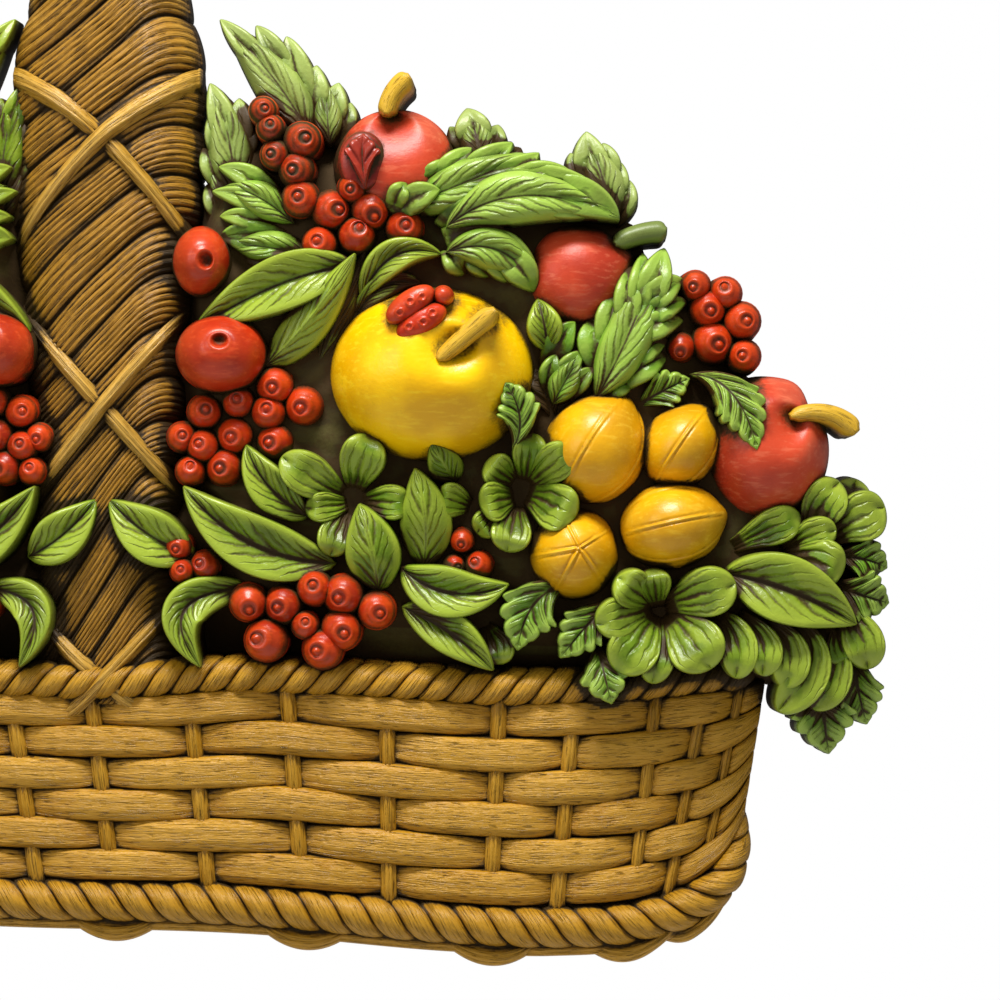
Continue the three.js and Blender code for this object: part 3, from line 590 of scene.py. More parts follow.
handle = Relief("handle")
middle = np.arange(HANDLE_FOOT - 18, HANDLE_TOP + 30, 0.55)[:, None]
share = np.sin(np.linspace(-1, 1, 49) * math.pi / 2)[None]
slope = lerp(1.55, 0.8, smooth((middle - 20) / 190))
z = middle + slope * handle_half(middle) * (share - 1.1 * np.clip(share - 0.35, 0, 1) ** 2)
z = np.clip(z, HANDLE_FOOT, HANDLE_TOP - 0.5)
sway = 0.06 * np.sin(share * 2.2 + middle / 17)
phase = middle / BUNDLE_PITCH + sway
bundle = np.sqrt(np.clip(1 - (2 * (phase % 1) - 1) ** 2, 0, 1))
number = np.floor(phase)
strands = STRANDS + np.round(1.4 * np.sin(number * 2.3))
frayed = 0.5 * np.sin(share * 3.1 + number * 1.7) + 0.25 * np.sin(share * 8 + number)
strand = np.abs(np.sin((phase % 1) * math.pi * strands + frayed))
rise = handle_rise(share, z) + BUNDLE_STAND * bundle**0.8 + STRAND_STAND * strand**0.6 - 3.2
rise = np.maximum(rise + 0.5 * np.sin(number * 4.1 + share * 2), 1.5)
x = share * (handle_half(z) - 1.2 + 2.0 * bundle) * handle_draw(z)
grain = np.stack([x + 17 * np.floor(phase), phase * BUNDLE_PITCH + 0 * x], axis=-1)
# the edges, turning away, and the gaps between bundles and strands are darkened: wash and painted shade
stain = 0.35 * smooth((np.abs(share) - 0.86) / 0.14) + 0.65 * (1 - bundle) ** 2 + 0.35 * (1 - strand) ** 2
handle.patch(np.dstack([x, z, rise]), grain=grain, stain=stain, tone=0.5)
handle = handle.build()
handle_paint = cane("342008", "946610", "c89a40", 1.3)
strand_finish = finish("painted strands", handle_paint, gloss=0.4, bump=cane_bump, bump_depth=0.5)
handle.data.materials.append(strand_finish)

bindings = Relief("bindings")
for number, (crossing, climb, fall) in enumerate(BINDINGS):
    for turned in (-1, 1):
        share = np.linspace(-1.0, 1.0, 90)[:, None]
        s = np.sin(np.linspace(-1, 1, 17) * math.pi / 2)[None]
        bow = 1.5 * np.sin(share * 2.4 + number)
        middle = crossing + turned * share * (climb + fall) / 2 + share**2 * (climb - fall) / 2
        z = np.clip(middle + s * BINDING_HALF + bow, -24, HANDLE_TOP - 2)
        x = share * handle_half(z) * handle_draw(z)
        lift = BINDING_STAND + CROSSING_LIFT * turned * np.exp(-((share / 0.16) ** 2))
        rise = handle_rise(np.minimum(0.985, np.abs(share)), z) - 1
        rise = rise + lift * np.sqrt(np.clip(1 - (0.96 * s) ** 2, 0, 1))
        rise = rise - 0.9 * np.abs(np.cos(s * 4.7)) ** 6
        grain = np.stack([x * 1.4 + 60 * number, s * 4 + 0 * x + 9 * turned], axis=-1)
        bindings.patch(np.dstack([x, z, rise]), grain=grain, tone=hashed(number, turned))
bindings = bindings.build()
binding_paint = cane("4e3008", "a47820", "d4aa52", 0.9)
binding_finish = finish("painted binding", binding_paint, gloss=0.34, bump=cane_bump, bump_depth=0.3)
bindings.data.materials.append(binding_finish)


# ---------------------------------------------------------------- the leaves
# Leaves in four kinds, all part of the moulding and painted green: smooth-edged blades, fronds
# with a ridge to each tooth, round-tipped petals that make rosettes, and cut leaves, each built
# up of slit lobes over a web.

LOBE_CUT, LOBE_PEAK = 0.26, 0.8


def midrib(root, bend, tip, t):
    """The points and the directions at t on the bent midrib from root to tip."""
    root, bend, tip = (np.array(p, float) for p in (root, bend, tip))
    t = np.asarray(t, float)[..., None]
    at = (1 - t) ** 2 * root + 2 * t * (1 - t) * bend + t * t * tip
    way = (1 - t) * (bend - root) + t * (tip - bend)
    return at, way / np.linalg.norm(way, axis=-1, keepdims=True)


def blade_outline(t):
    return np.sin(math.pi * t**0.85) ** 0.8


def petal_outline(t):
    tip = np.sqrt(np.clip(1 - (np.clip(t - 0.62, 0, 1) / 0.38) ** 2.2, 0, 1))
    return np.where(t < 0.62, 0.4 + 0.6 * smooth(t / 0.62), tip)


def lobe_outline(t):
    """The share of its half width that a leaf's lobe has at t: wide at its root, blunt at its tip."""
    tip = np.clip(1 - (np.clip(t - 0.55, 0, 1) / 0.45) ** 1.6, 0, 1) ** 0.78
    return np.where(t < 0.55, 0.8 + 0.2 * smooth(t / 0.55), tip)


def frond_outline(u):
    to_tip = 1 - 0.9 * (np.clip(u - 0.25, 0, 1) / 0.75) ** 1.4
    return np.where(u < 0.25, lerp(0.7, 1.0, smooth(u / 0.25)), to_tip)


def notches(u, lobes):
    """The share of the width that the notches between lobes take."""
    turn = u * (lobes + 0.6)
    part = turn % 1
    before = np.clip(1 - part / LOBE_PEAK, 0, 1) ** 1.6
    beyond = np.clip((part - LOBE_PEAK) / (1 - LOBE_PEAK), 0, 1) ** 1.9
    near = np.where(part < LOBE_PEAK, before, beyond)
    near = np.where(turn < LOBE_PEAK, 0, near)
    tip = np.clip((turn - lobes) / 0.6, 0, 1)
    return np.where(turn < lobes, LOBE_CUT * near, LOBE_CUT * (1 - tip) ** 2 + 0.9 * tip**2.2)


def across_leaf(columns):
    return np.sin(np.linspace(-1, 1, columns) * math.pi / 2)[None]


def along_rise(rises, t):
    return lerp(rises[0], rises[2], t) + (rises[1] - (rises[0] + rises[2]) / 2) * 4 * t * (1 - t)


def reach_of(root, bend, tip):
    return math.dist(root, bend) / 2 + math.dist(bend, tip) / 2


def beside(at, way, off):
    """x and z at a distance to the left of the midrib."""
    return at[..., 0] - off * way[..., 1], at[..., 1] + off * way[..., 0]


def frond(piece, root, bend, tip, half, lobes, rises, sweep=0.5):
    """A toothed leaf. Its lines run out from the midrib and sweep forward to the edge, and its
    grain map counts the lobes along it, and runs -1..1 from edge to edge."""
    count = lobes + 0.6
    u = np.linspace(0, 1, int(count * 11))[:, None]
    v = across_leaf(23)
    side = np.abs(v)
    t = 1 - (1 - u) * (1 - sweep * side**0.85)
    at, way = midrib(root, bend, tip, t)
    width = np.maximum(half * frond_outline(u) * (1 - notches(u, lobes)), 0.12)
    x, z = beside(at, way, v * width)
    seed = hashed(root[0], tip[1], half)
    thick = np.minimum(1, width / 5)
    ridge = np.sqrt(np.clip(1 - (2 * ((u * count) % 1) - 1) ** 2, 0, 1))
    rise = along_rise(rises, t) + np.minimum(0.24 * width, 3.2) * side**1.2
    rise = rise + 1.9 * thick * (ridge - 0.6) * smooth(side / 0.3)
    rise = rise - 1.2 * thick * np.exp(-((v / 0.08) ** 2)) - 6.0 * thick * np.clip(side - 0.84, 0, 1) ** 1.15
    rise = rise + 0.6 * np.sin(t * 5 + seed * 6) * thick
    grain = np.stack(np.broadcast_arrays(u * count + 40 * round(seed * 9), v), axis=-1)
    stain = 0.5 * (1 - smooth(t / 0.4)) * (1 - 0.6 * side) + 0.3 * (1 - ridge) ** 2 * smooth(side / 0.3)
    rim = smooth((side - 0.6) / 0.3) * thick * ridge
    piece.patch(np.dstack([x, z, rise]), grain=grain, stain=stain, tone=seed, shine=rim)


def blade(piece, root, bend, tip, half, rises, fold=1.0, paleness=1.0, sunk=0.0):
    """A smooth-edged leaf, folded up along its midrib, or down where fold is negative. paleness: how far its
    paint was rubbed pale at the edge, and how pale its upturned half is painted, a painted sheen. sunk: how
    far its edge dips below the lobes."""
    length = reach_of(root, bend, tip)
    t = np.linspace(0, 1, int(np.clip(length / 0.8, 22, 60)))[:, None]
    v = across_leaf(21)
    side = np.abs(v)
    at, way = midrib(root, bend, tip, t + 0 * v)
    width = np.maximum(half * blade_outline(t), 0.12)
    x, z = beside(at, way, v * width)
    seed = hashed(root[0], tip[1], half)
    thick = np.minimum(1, width / 5)
    rise = along_rise(rises, t) + fold * np.minimum(0.56 * width, 6.0) * side**0.9
    rise = rise + 0.9 * thick * np.sin(math.pi * side**0.8) - 5.0 * thick * np.clip(side - 0.87, 0, 1) ** 1.1
    rise = rise - 0.8 * fold * thick * np.exp(-((v / 0.07) ** 2)) + 0.5 * np.sin(t * 5 + seed * 6) * thick
    rise = rise - sunk * (np.clip(side - 0.55, 0, 1) / 0.45) ** 1.5
    count = max(2.0, round(length / 13))
    grain = np.stack(np.broadcast_arrays(t * count - 1.0 * side + 40 * round(seed * 9), v), axis=-1)
    stain = 0.5 * (1 - smooth(t / 0.3)) * (1 - 0.5 * side) + 0.35 * np.exp(-((v / 0.08) ** 2)) * (fold > 0)
    # the half that faces up to the top light is painted pale: a painted sheen
    painted_sheen = smooth(-fold * v * way[..., 0] / 0.5)
    rim = paleness * np.maximum(smooth((side - 0.72) / 0.2), 0.9 * painted_sheen) * thick
    piece.patch(np.dstack([x, z, rise]), grain=grain, stain=stain, tone=seed, shine=rim)


def petal(piece, root, bend, tip, half, rises):
    """A round-tipped petal, grooved lengthwise from its dark root."""
    length = reach_of(root, bend, tip)
    t = (np.sin(np.linspace(0, 1, int(np.clip(length / 0.8, 20, 34))) * math.pi / 2) ** 0.9)[:, None]
    v = across_leaf(21)
    side = np.abs(v)
    at, way = midrib(root, bend, tip, t + 0 * v)
    width = np.maximum(half * petal_outline(t), 0.12)
    x, z = beside(at, way, v * width)
    seed = hashed(root[0], tip[1], half)
    thick = np.minimum(1, width / 5)
    rise = along_rise(rises, t) + thick * (1.3 * side**1.5 - 4.6 * np.clip(side - 0.72, 0, 1) ** 1.4)
    grooves = (1 - smooth((t - 0.3) / 0.5)) * (0.5 + 0.5 * np.cos(v * math.pi * 4)) * (side < 0.8)
    rise = rise - 0.9 * thick * grooves
    rise = rise + 1.6 * np.exp(-(((t - 0.78) / 0.16) ** 2)) * thick
    if seed > 0.35:
        dent = np.exp(-(((v - 0.15 * math.sin(seed * 40)) / 0.2) ** 2)) * smooth((t - 0.72) / 0.28)
        dent = 0.11 * length * dent
        x, z = x - dent * way[..., 0], z - dent * way[..., 1]
        rise = rise - 0.18 * dent
    grain = np.stack(np.broadcast_arrays(0.75 * v + 40 * round(seed * 9), t * 1.15 - 0.12), axis=-1)
    stain = 0.9 * (1 - smooth((t - 0.02) / 0.3))
    rim = smooth((side - 0.7) / 0.25) * smooth((t - 0.3) / 0.3)
    rim = np.maximum(rim, smooth((t - 0.8) / 0.15)) * thick
    piece.patch(np.dstack([x, z, rise]), grain=grain, stain=stain, tone=seed, shine=rim)


def lobe(piece, root, bend, tip, half, rises):
    """One lobe of a cut leaf, slit along its middle, its edges lifted and bare at the tip."""
    length = reach_of(root, bend, tip)
    t = (np.sin(np.linspace(0, 1, int(np.clip(length, 16, 30))) * math.pi / 2) ** 0.95)[:, None]
    v = across_leaf(15)
    side = np.abs(v)
    at, way = midrib(root, bend, tip, t + 0 * v)
    width = np.maximum(half * lobe_outline(t), 0.12)
    x, z = beside(at, way, v * width)
    seed = hashed(root[0], tip[1], half)
    thick = np.minimum(1, width / 4)
    lean = 0.25 * math.sin(seed * 50)
    slit = np.exp(-(((v - lean) / 0.09) ** 2)) * smooth(t / 0.15) * (1 - smooth((t - 0.75) / 0.22))
    rise = along_rise(rises, t) + thick * (0.7 * side**1.6 - 3.6 * np.clip(side - 0.82, 0, 1) ** 1.1)
    rise = rise - 1.1 * thick * slit + 0.9 * thick * (seed - 0.5) - 4.0 * (1 - smooth(t / 0.8))
    grain = np.stack(np.broadcast_arrays(0.28 * v + 40 * round(seed * 9), t * 1.1 - 0.1), axis=-1)
    stain = 0.4 * (1 - smooth((t - 0.02) / 0.35)) + 0.4 * slit
    rim = smooth((side - 0.78) / 0.18) * smooth((t - 0.5) / 0.3)
    rim = np.maximum(rim, 0.8 * smooth((t - 0.86) / 0.12)) * thick
    piece.patch(np.dstack([x, z, rise]), grain=grain, stain=stain, tone=seed, shine=rim)


# Cut leaves: how far a leaf stands at its roots, middle and tips, and then its webs and its lobes, each by
# root, bend, tip and half width. The first ones lie low and are painted paler.
# A web stands a little over its lobes' roots, is folded and paled only slightly, and dips at its edge.
WEB_LIFT, WEB_FOLD, WEB_PALENESS, WEB_EDGE = 0.5, 0.3, 0.3, 3.2
LOBE_SWELL = 1.24
LOW_LEAVES = (
    # the topmost leaf
    ((26, 27, 21), (((82, 221), (73, 241), (48, 267), 9), ((90, 218), (89, 230), (88, 244), 6)), (
        ((68, 246), (58, 256), (46, 268.5), 3.4), ((71.2, 244), (62.8, 252), (50.8, 262), 2.6),
        ((74.8, 234), (68, 242), (57.6, 252), 3.6), ((78.4, 223), (71.6, 232.8), (60.8, 244), 4.8),
        ((74.8, 240), (69.2, 254), (60.4, 266), 4), ((80.4, 226), (78, 246), (72.4, 261.6), 4.8),
        ((84.4, 224), (82.8, 238), (84.4, 250), 4.6), ((89.2, 219), (90.8, 232), (93.2, 243), 4.4),
        ((92, 218), (96.4, 226), (98, 235), 3.6),
    )),
    # the leaf beside the handle
    ((23, 25, 19), (((53, 194), (51, 218), (45, 240), 9), ((54, 186), (47, 198), (42, 212), 5)), (
        ((49.2, 210), (48.4, 228), (41.6, 243), 4.2), ((52.4, 208.8), (54, 224), (53.2, 237), 4.6),
        ((48.4, 207), (44.4, 220), (42.4, 232), 3.6), ((55.2, 211), (56.4, 219), (59.6, 227), 3.2),
        ((48.4, 200), (42.8, 208.8), (38.8, 217), 3.6), ((50.8, 186), (44, 194), (40.4, 202.4), 3.6),
    )),
    # behind the sweeping leaf, and behind its tip
    ((24, 25, 19), (((151, 211), (149, 220), (146, 231), 7), ((203, 187), (200, 204), (194, 220), 8)), (
        ((149.2, 214), (147.6, 224), (144.8, 233), 5.6), ((153.2, 215), (155.6, 220), (157.2, 226.4), 3.8),
        ((145.2, 214), (142, 220), (138, 225.6), 2.8), ((158, 212), (160.4, 215.6), (162.4, 219.6), 2.8),
        ((161.2, 211), (163.6, 214), (166, 217.2), 2.6), ((198.8, 196), (194, 210), (192.8, 223.6), 5.6),
        ((194.8, 200), (189.2, 207), (186.4, 215), 3.4), ((200.4, 198), (202, 210), (199.6, 219), 4.2),
        ((201.2, 194), (205.2, 202), (206, 211.6), 3.8), ((203.6, 189), (209.2, 194), (210, 204), 3.6),
    )),
)
CUT_LEAVES = (
    # the fans beside the handle
    ((34, 38, 33), (((76, 186), (63, 198), (49, 201), 7), ((86, 171), (66, 178), (50, 177), 7)), (
        ((72.4, 190.4), (62.8, 205.6), (46.4, 208.4), 3.8), ((73.2, 187), (60, 196.8), (44, 198.8), 3.2),
        ((70, 183), (58, 189.6), (46.8, 188.8), 3), ((78, 176), (60, 183), (46, 180), 5),
        ((78.8, 174.4), (68, 172.8), (56.8, 171), 3.7), ((86, 164.4), (76, 168), (66.8, 168.8), 2.8),
    )),
    # the sprig among the berries
    ((44, 48, 44), (), (
        ((115.6, 191), (117.2, 197), (121.2, 201), 3.2), ((117, 188.8), (123, 197), (134, 198.4), 4.2),
    )),
    # the upper sweeping leaf
    ((38, 43, 36), (((120, 192), (146, 202), (171, 213), 9),), (
        ((118.8, 198.4), (124, 208), (134, 213.6), 3.8), ((126, 196.8), (130, 204), (139.6, 211), 3.8),
        ((134, 195), (136.4, 206), (146.4, 215.6), 4.8), ((138.8, 195), (148.4, 207), (162.8, 217.6), 5.2),
        ((142, 194.4), (158, 200.8), (173.2, 213.6), 5),
    )),
    # the lower sweeping leaf
    ((42, 46, 40), (((137, 184), (164, 206), (205, 188), 10),), (
        ((158, 200), (170, 206.4), (185.2, 206.4), 3.6), ((150, 197.6), (170, 204.8), (194.8, 201), 5),
        ((158, 197.6), (190, 201.6), (204.8, 187.6), 6), ((136, 184), (142.8, 193.6), (157.2, 189), 4.4),
        ((142, 191), (154, 197.6), (166.8, 190), 5), ((150, 194.4), (166, 198), (178.4, 188.8), 5),
        ((162, 196), (182, 196.8), (192.8, 188.4), 5),
    )),
    # the hooked leaf over the golden apple
    ((42, 44, 35), (((137, 174), (160, 182), (173, 160), 8.5),), (
        ((136.4, 180), (152, 185.6), (163.6, 176.8), 3.8), ((138, 176), (160, 184), (173.2, 162.4), 5),
        ((138.8, 175), (139.6, 170.4), (144.4, 166.4), 4), ((143.6, 175), (150, 171), (154.4, 165), 4),
        ((149.2, 176), (158, 171), (163.2, 162.4), 4.2), ((154.8, 175), (166.8, 170), (171.6, 159), 5),
    )),
    # the tall leaf, and the small one beside it
    ((38, 42, 30), (((196, 116), (211, 142), (220, 171), 9.5),), (
        ((200.4, 126), (193, 138), (196.5, 149), 5.4), ((203.2, 128), (200.4, 146), (205.2, 161), 5.2),
        ((209.2, 137), (207.5, 156), (210.5, 169), 4.2), ((211.6, 143), (214, 160), (215, 174), 3.8),
        ((214, 146), (219, 162), (223.5, 176), 5), ((214.5, 148), (220, 160.8), (231, 163.5), 4.4),
        ((214, 145), (220, 153.6), (232.2, 155), 4), ((211, 139), (218, 147), (230.6, 147.5), 4.2),
        ((206, 127), (212, 138), (224.8, 139.6), 4.8), ((202.8, 121), (214, 129.6), (224.4, 133.6), 4.4),
        ((197.2, 117.6), (204, 121.6), (211.6, 124.8), 3.8),
    )),
    ((36, 41, 38), (((179, 114), (184, 124), (190, 133), 6.5),), (
        ((180.4, 116), (183.2, 128.8), (190.8, 134.8), 3.4), ((182.8, 115), (189.2, 123), (194.8, 128.4), 3),
        ((178, 117), (176.4, 126), (180.4, 133.6), 3.2), ((178, 126), (179, 138), (187.6, 146.4), 4.4),
    )),
)

# stalk, bend, tip, half width, lobes a side, and the midrib's rises; each half has these
PAIRED_FRONDS = (
    ((288.5, 10.5), (285, -4), (290, -25.5), 13, 3, (22, 28, 20)),
    ((299, 22), (299, 2), (305, -13.5), 10, 3, (22, 28, 22)),
    ((288, 43), (301, 38), (313, 35), 10.5, 3, (26, 34, 28)),
    # along the rim
    ((187, 43), (168, 41), (165, 17), 12, 3, (36, 46, 44)),
    ((203, 36), (194, 30), (182, 14), 9.5, 3, (36, 47, 45)),
    ((197, 20), (198, 10), (202, -4), 9.5, 2, (36, 48, 47)),
)
RIGHT_FRONDS = (
    ((163, 96), (170, 108), (160, 122), 8.5, 3, (46, 53, 52)),
    ((211, 112), (220, 119), (233, 124), 8, 3, (30, 37, 36)),
    ((234, 126), (252.5, 124.5), (259, 96), 10, 4, (38, 49, 51)),
    ((289, 53), (302, 54.5), (312.5, 49), 9, 3, (24, 32, 26)),
    ((180, 104), (178, 116), (172, 128), 6.5, 2, (30, 35, 33)),
)
PAIRED_BLADES = (
    ((103, 156), (113, 180), (134.5, 173.5), 6.4, (36, 42, 38)),
    ((100, 149), (112, 167), (126.5, 162), 4.6, (32, 38, 36)),
    ((36.5, 53.5), (18, 60), (3, 76), 10, (36, 40, 37)),
    ((100, 169), (72, 166), (36, 143), 10.5, (40, 42, 36)),
    ((82, 69.5), (63.5, 79), (57.5, 97.5), 8, (36, 40, 39)),
    ((92.5, 51), (56.5, 52), (33, 81), 11, (38, 43, 42)),
    ((119.5, 33.5), (140.5, 25), (155, 9), 8, (38, 44, 43)),
    ((119, 49), (137, 33), (161, 42.5), 9.5, (38, 45, 45)),
    ((59, 41), (18, 40), (39.5, 10.5), 8, (36, 44, 46)),
    ((247, 47), (274, 42.5), (299, 27), 13, (40, 45, 40)),
)
RIGHT_BLADES = (
    ((177, 135), (176, 145.5), (173, 155.5), 6.6, (36, 40, 37)),
)
# these are folded down from the midrib
KEEL_FOLD = -0.9
KEELED_BLADES = (
    ((81, 121), (93, 144), (104.5, 175), 5.5, (30, 36, 38)),
    ((64.5, 129), (83.5, 144), (100.5, 173), 8, (36, 45, 45)),
    ((110, 40), (108.5, 57), (102.5, 74), 10.5, (40, 51, 46)),
    ((127.5, 49), (131, 68), (124.5, 88), 10, (36, 47, 46)),
    ((140.5, 83), (136.5, 89), (131, 98.5), 6.5, (34, 45, 48)),
)
PETALS = (
    # the clover at the middle
    ((168.5, 81.5), (176.5, 89), (187, 96), 7.4, (30, 46, 48)),
    ((167.5, 79), (178, 74.5), (187.5, 69.5), 9.2, (30, 46, 48)),
    ((160.5, 73.5), (154, 68), (149, 63), 5.5, (30, 40, 39)),
    ((164.5, 75), (163, 65.5), (161, 56), 7.6, (30, 45, 46)),
    ((164.5, 82.5), (159, 86.5), (153, 91), 6.5, (30, 42, 42)),
    ((147.5, 73), (140.5, 76), (133, 77), 6.5, (30, 41, 40)),
    ((167.5, 82.5), (170, 91), (170.5, 102), 6.5, (30, 44, 44)),
    ((164.5, 77.5), (158, 76), (150.5, 74), 7.6, (30, 44, 44)),
    # the star beside it
    ((98, 77), (85, 83), (72, 93), 8, (30, 43, 43)),
    ((100, 78.5), (102, 89.5), (107, 101.5), 8.6, (30, 43, 42)),
    ((99, 75), (91, 73), (81, 73), 5.6, (30, 40, 39)),
    ((98, 73), (93, 65), (91, 54), 6.6, (30, 41, 41)),
    ((102, 75), (111.5, 76), (123, 74), 6.6, (30, 42, 41)),
    # along the rim
    ((152, 26), (157, 19), (157, 11), 7, (32, 39, 38)),
    # the great rosette
    ((220.5, 33.5), (219, 41), (218, 48.5), 6.4, (34, 46, 46)),
    ((219, 34.5), (212.5, 39), (204.5, 45.5), 7.6, (34, 48, 49)),
    ((222, 29.5), (221, 20), (218, 4), 7, (34, 46, 47)),
    ((218, 33), (209, 30.5), (196, 27), 8, (34, 48, 49)),
    ((219.5, 30.5), (214, 22.5), (204.5, 8.5), 9.8, (34, 49, 50)),
    ((224.5, 31), (233, 22.5), (241, 10), 11, (34, 50, 51)),
    ((223.5, 34.5), (235.5, 38.5), (250.5, 43), 9.4, (34, 49, 50)),
    # the spray at the right end
    ((294, 62), (297, 74), (300.5, 84), 7.6, (22, 28, 24)),
    ((280, 59), (284, 73), (293, 83), 8.4, (28, 37, 33)),
    ((287, 60), (300, 69.5), (311.5, 73), 9.6, (26, 34, 28)),
    ((250, 57), (265, 65.5), (277, 69.5), 7, (32, 40, 38)),
    ((271, 56), (280.5, 63), (291, 64), 6.4, (32, 41, 40)),
    ((272, 53), (283, 52), (293, 47), 10, (34, 44, 43)),
    ((293, 34), (303, 24), (304.5, 9), 8, (28, 37, 32)),
    ((292, 26), (293, 19), (295.5, 10), 6.4, (30, 36, 34)),
    ((286, 26), (296.5, 9), (282, -6.5), 8, (30, 37, 33)),
    ((275, 28), (290, 13), (268.5, -7.5), 8.6, (34, 41, 37)),
    ((264, 28), (278, 18), (270, 2), 7.6, (36, 43, 41)),
    ((253, 30), (266, 21), (261.5, 7), 6.8, (37, 45, 43)),
    ((243, 31), (256, 24), (251, 6), 7.2, (37, 46, 45)),
)


def leaf_to_left(root, bend, tip, half, *rest):
    return (to_left(root), to_left(bend), to_left(tip), half * LEFT_BREADTH, *rest)


low_leaves = Relief("low_leaves")
outer_leaves = Relief("outer_leaves")
inner_leaves = Relief("inner_leaves")
left_leaves = Relief("left_leaves")
petals = Relief("petals")
for piece, leaves in ((low_leaves, LOW_LEAVES), (outer_leaves, CUT_LEAVES)):
    for rises, webs, lobes in leaves:
        lifted = tuple(rise + WEB_LIFT for rise in rises)
        for web in webs:
            blade(piece, *web, lifted, WEB_FOLD, WEB_PALENESS, WEB_EDGE)
            blade(left_leaves, *leaf_to_left(*web), lifted, WEB_FOLD, WEB_PALENESS, WEB_EDGE)
        for root, bend, tip, half in lobes:
            swollen = (root, bend, tip, half * LOBE_SWELL)
            lobe(piece, *swollen, rises)
            lobe(left_leaves, *leaf_to_left(*swollen), rises)
for leaf in PAIRED_FRONDS + RIGHT_FRONDS:
    frond(outer_leaves, *leaf)
for leaf in PAIRED_BLADES + RIGHT_BLADES:
    blade(inner_leaves, *leaf)
for leaf in KEELED_BLADES:
    blade(inner_leaves, *leaf, fold=KEEL_FOLD)
for leaf in KEELED_BLADES[:4]:
    blade(left_leaves, *leaf_to_left(*leaf), fold=KEEL_FOLD)
for leaf in PAIRED_FRONDS:
    frond(left_leaves, *leaf_to_left(*leaf))
for leaf in PAIRED_BLADES:
    blade(left_leaves, *leaf_to_left(*leaf))
for leaf in PETALS:
    petal(petals, *leaf)
for leaf in PETALS:
    petal(left_leaves, *leaf_to_left(*leaf))

# Veins: dark slashes that follow the grain map out from the midrib and fade before the edge.
veins, given, result = group("leaf veins", [], [("Slashes", "Float"), ("Midrib", "Float")])
grain_map = add(veins, "ShaderNodeUVMap", uv_map="grain").outputs[0]
grain_map = add(veins, "ShaderNodeSeparateXYZ", {0: grain_map})
place = add(veins, "ShaderNodeTexCoord").outputs["Object"]
wander = noise(veins, place, 150.0, 2.0)
side = maths(veins, "ABSOLUTE", grain_map.outputs["Y"])
wander = maths(veins, "MULTIPLY", maths(veins, "SUBTRACT", wander, 0.5), 0.3)
turn = maths(veins, "ADD", grain_map.outputs["X"], wander)
slashes = None
for offset, widest, strength in ((0.5, 0.15, 1.0), (0.12, 0.09, 0.75), (0.83, 0.09, 0.6)):
    part = maths(veins, "FRACT", maths(veins, "ADD", turn, offset))
    part = maths(veins, "ABSOLUTE", maths(veins, "SUBTRACT", part, 0.5))
    breadth = maths(veins, "MULTIPLY", spread(veins, side, 0.95, 0.35), widest)
    slash = maths(veins, "MULTIPLY", spread(veins, part, maths(veins, "ADD", breadth, 0.01), 0.0), strength)
    slashes = slash if slashes is None else maths(veins, "MAXIMUM", slashes, slash)
slashes = maths(veins, "MULTIPLY", slashes, spread(veins, side, 0.90, 0.6))
veins.links.new(maths(veins, "MULTIPLY", slashes, spread(veins, side, 0.04, 0.16)), result["Slashes"])
veins.links.new(spread(veins, side, 0.09, 0.01), result["Midrib"])


def green(deep, body, light):
    """Leaf paint, streaked deep and body green, with light rims, a painted sheen on the upturned halves of
    blades, and the wash left in its veins.
    """

    def paint(tree):
        lines = add(tree, "ShaderNodeGroup", node_tree=veins)
        tone = add(tree, "ShaderNodeAttribute", attribute_name="tone").outputs["Fac"]
        rim = add(tree, "ShaderNodeAttribute", attribute_name="shine").outputs["Fac"]
        place = add(tree, "ShaderNodeTexCoord").outputs["Object"]
        streaks = noise(tree, place, 75.0, 4.0)
        mixed = mix(tree, spread(tree, streaks, 0.3, 0.7), colour(body), colour(deep))
        mixed = mix(tree, maths(tree, "MULTIPLY", tone, 0.25), mixed, colour(light))
        mixed = mix(tree, maths(tree, "MULTIPLY", rim, 0.5), mixed, colour(light))
        dark = maths(tree, "MULTIPLY", lines.outputs["Slashes"], 0.62)
        dark = maths(tree, "MAXIMUM", dark, maths(tree, "MULTIPLY", lines.outputs["Midrib"], 0.4))
        return washed_and_shaded(tree, mixed, mix(tree, 0.6, mixed, colour(light)), 0.95, dark)

    return paint


def vein_bump(tree):
    return maths(tree, "MULTIPLY", add(tree, "ShaderNodeGroup", node_tree=veins).outputs["Slashes"], -1.4)


inner_green = green("364a08", "608012", "a6b83c")
outer_green = green("3a540e", "64901f", "a8c252")
pale_green = green("485a1c", "788e3c", "a8b862")
leaf_paint = finish("painted leaf", inner_green, gloss=0.32, bump=vein_bump, bump_depth=0.5)
upper_paint = finish("upper leaf", outer_green, gloss=0.34, bump=vein_bump, bump_depth=0.5)
pale_paint = finish("pale leaf", pale_green, gloss=0.38, bump=vein_bump, bump_depth=0.45)
for relief, paint in (
    (outer_leaves, upper_paint), (inner_leaves, leaf_paint), (left_leaves, leaf_paint),
    (petals, leaf_paint), (low_leaves, pale_paint),
):
    relief.build().data.materials.append(paint)


# ---------------------------------------------------------------- the fruit
# Apples, crab apples and a ladybird, domes of the same moulding. Each apple has a hollow at its
# stalk; a crab apple has a ringed eye.


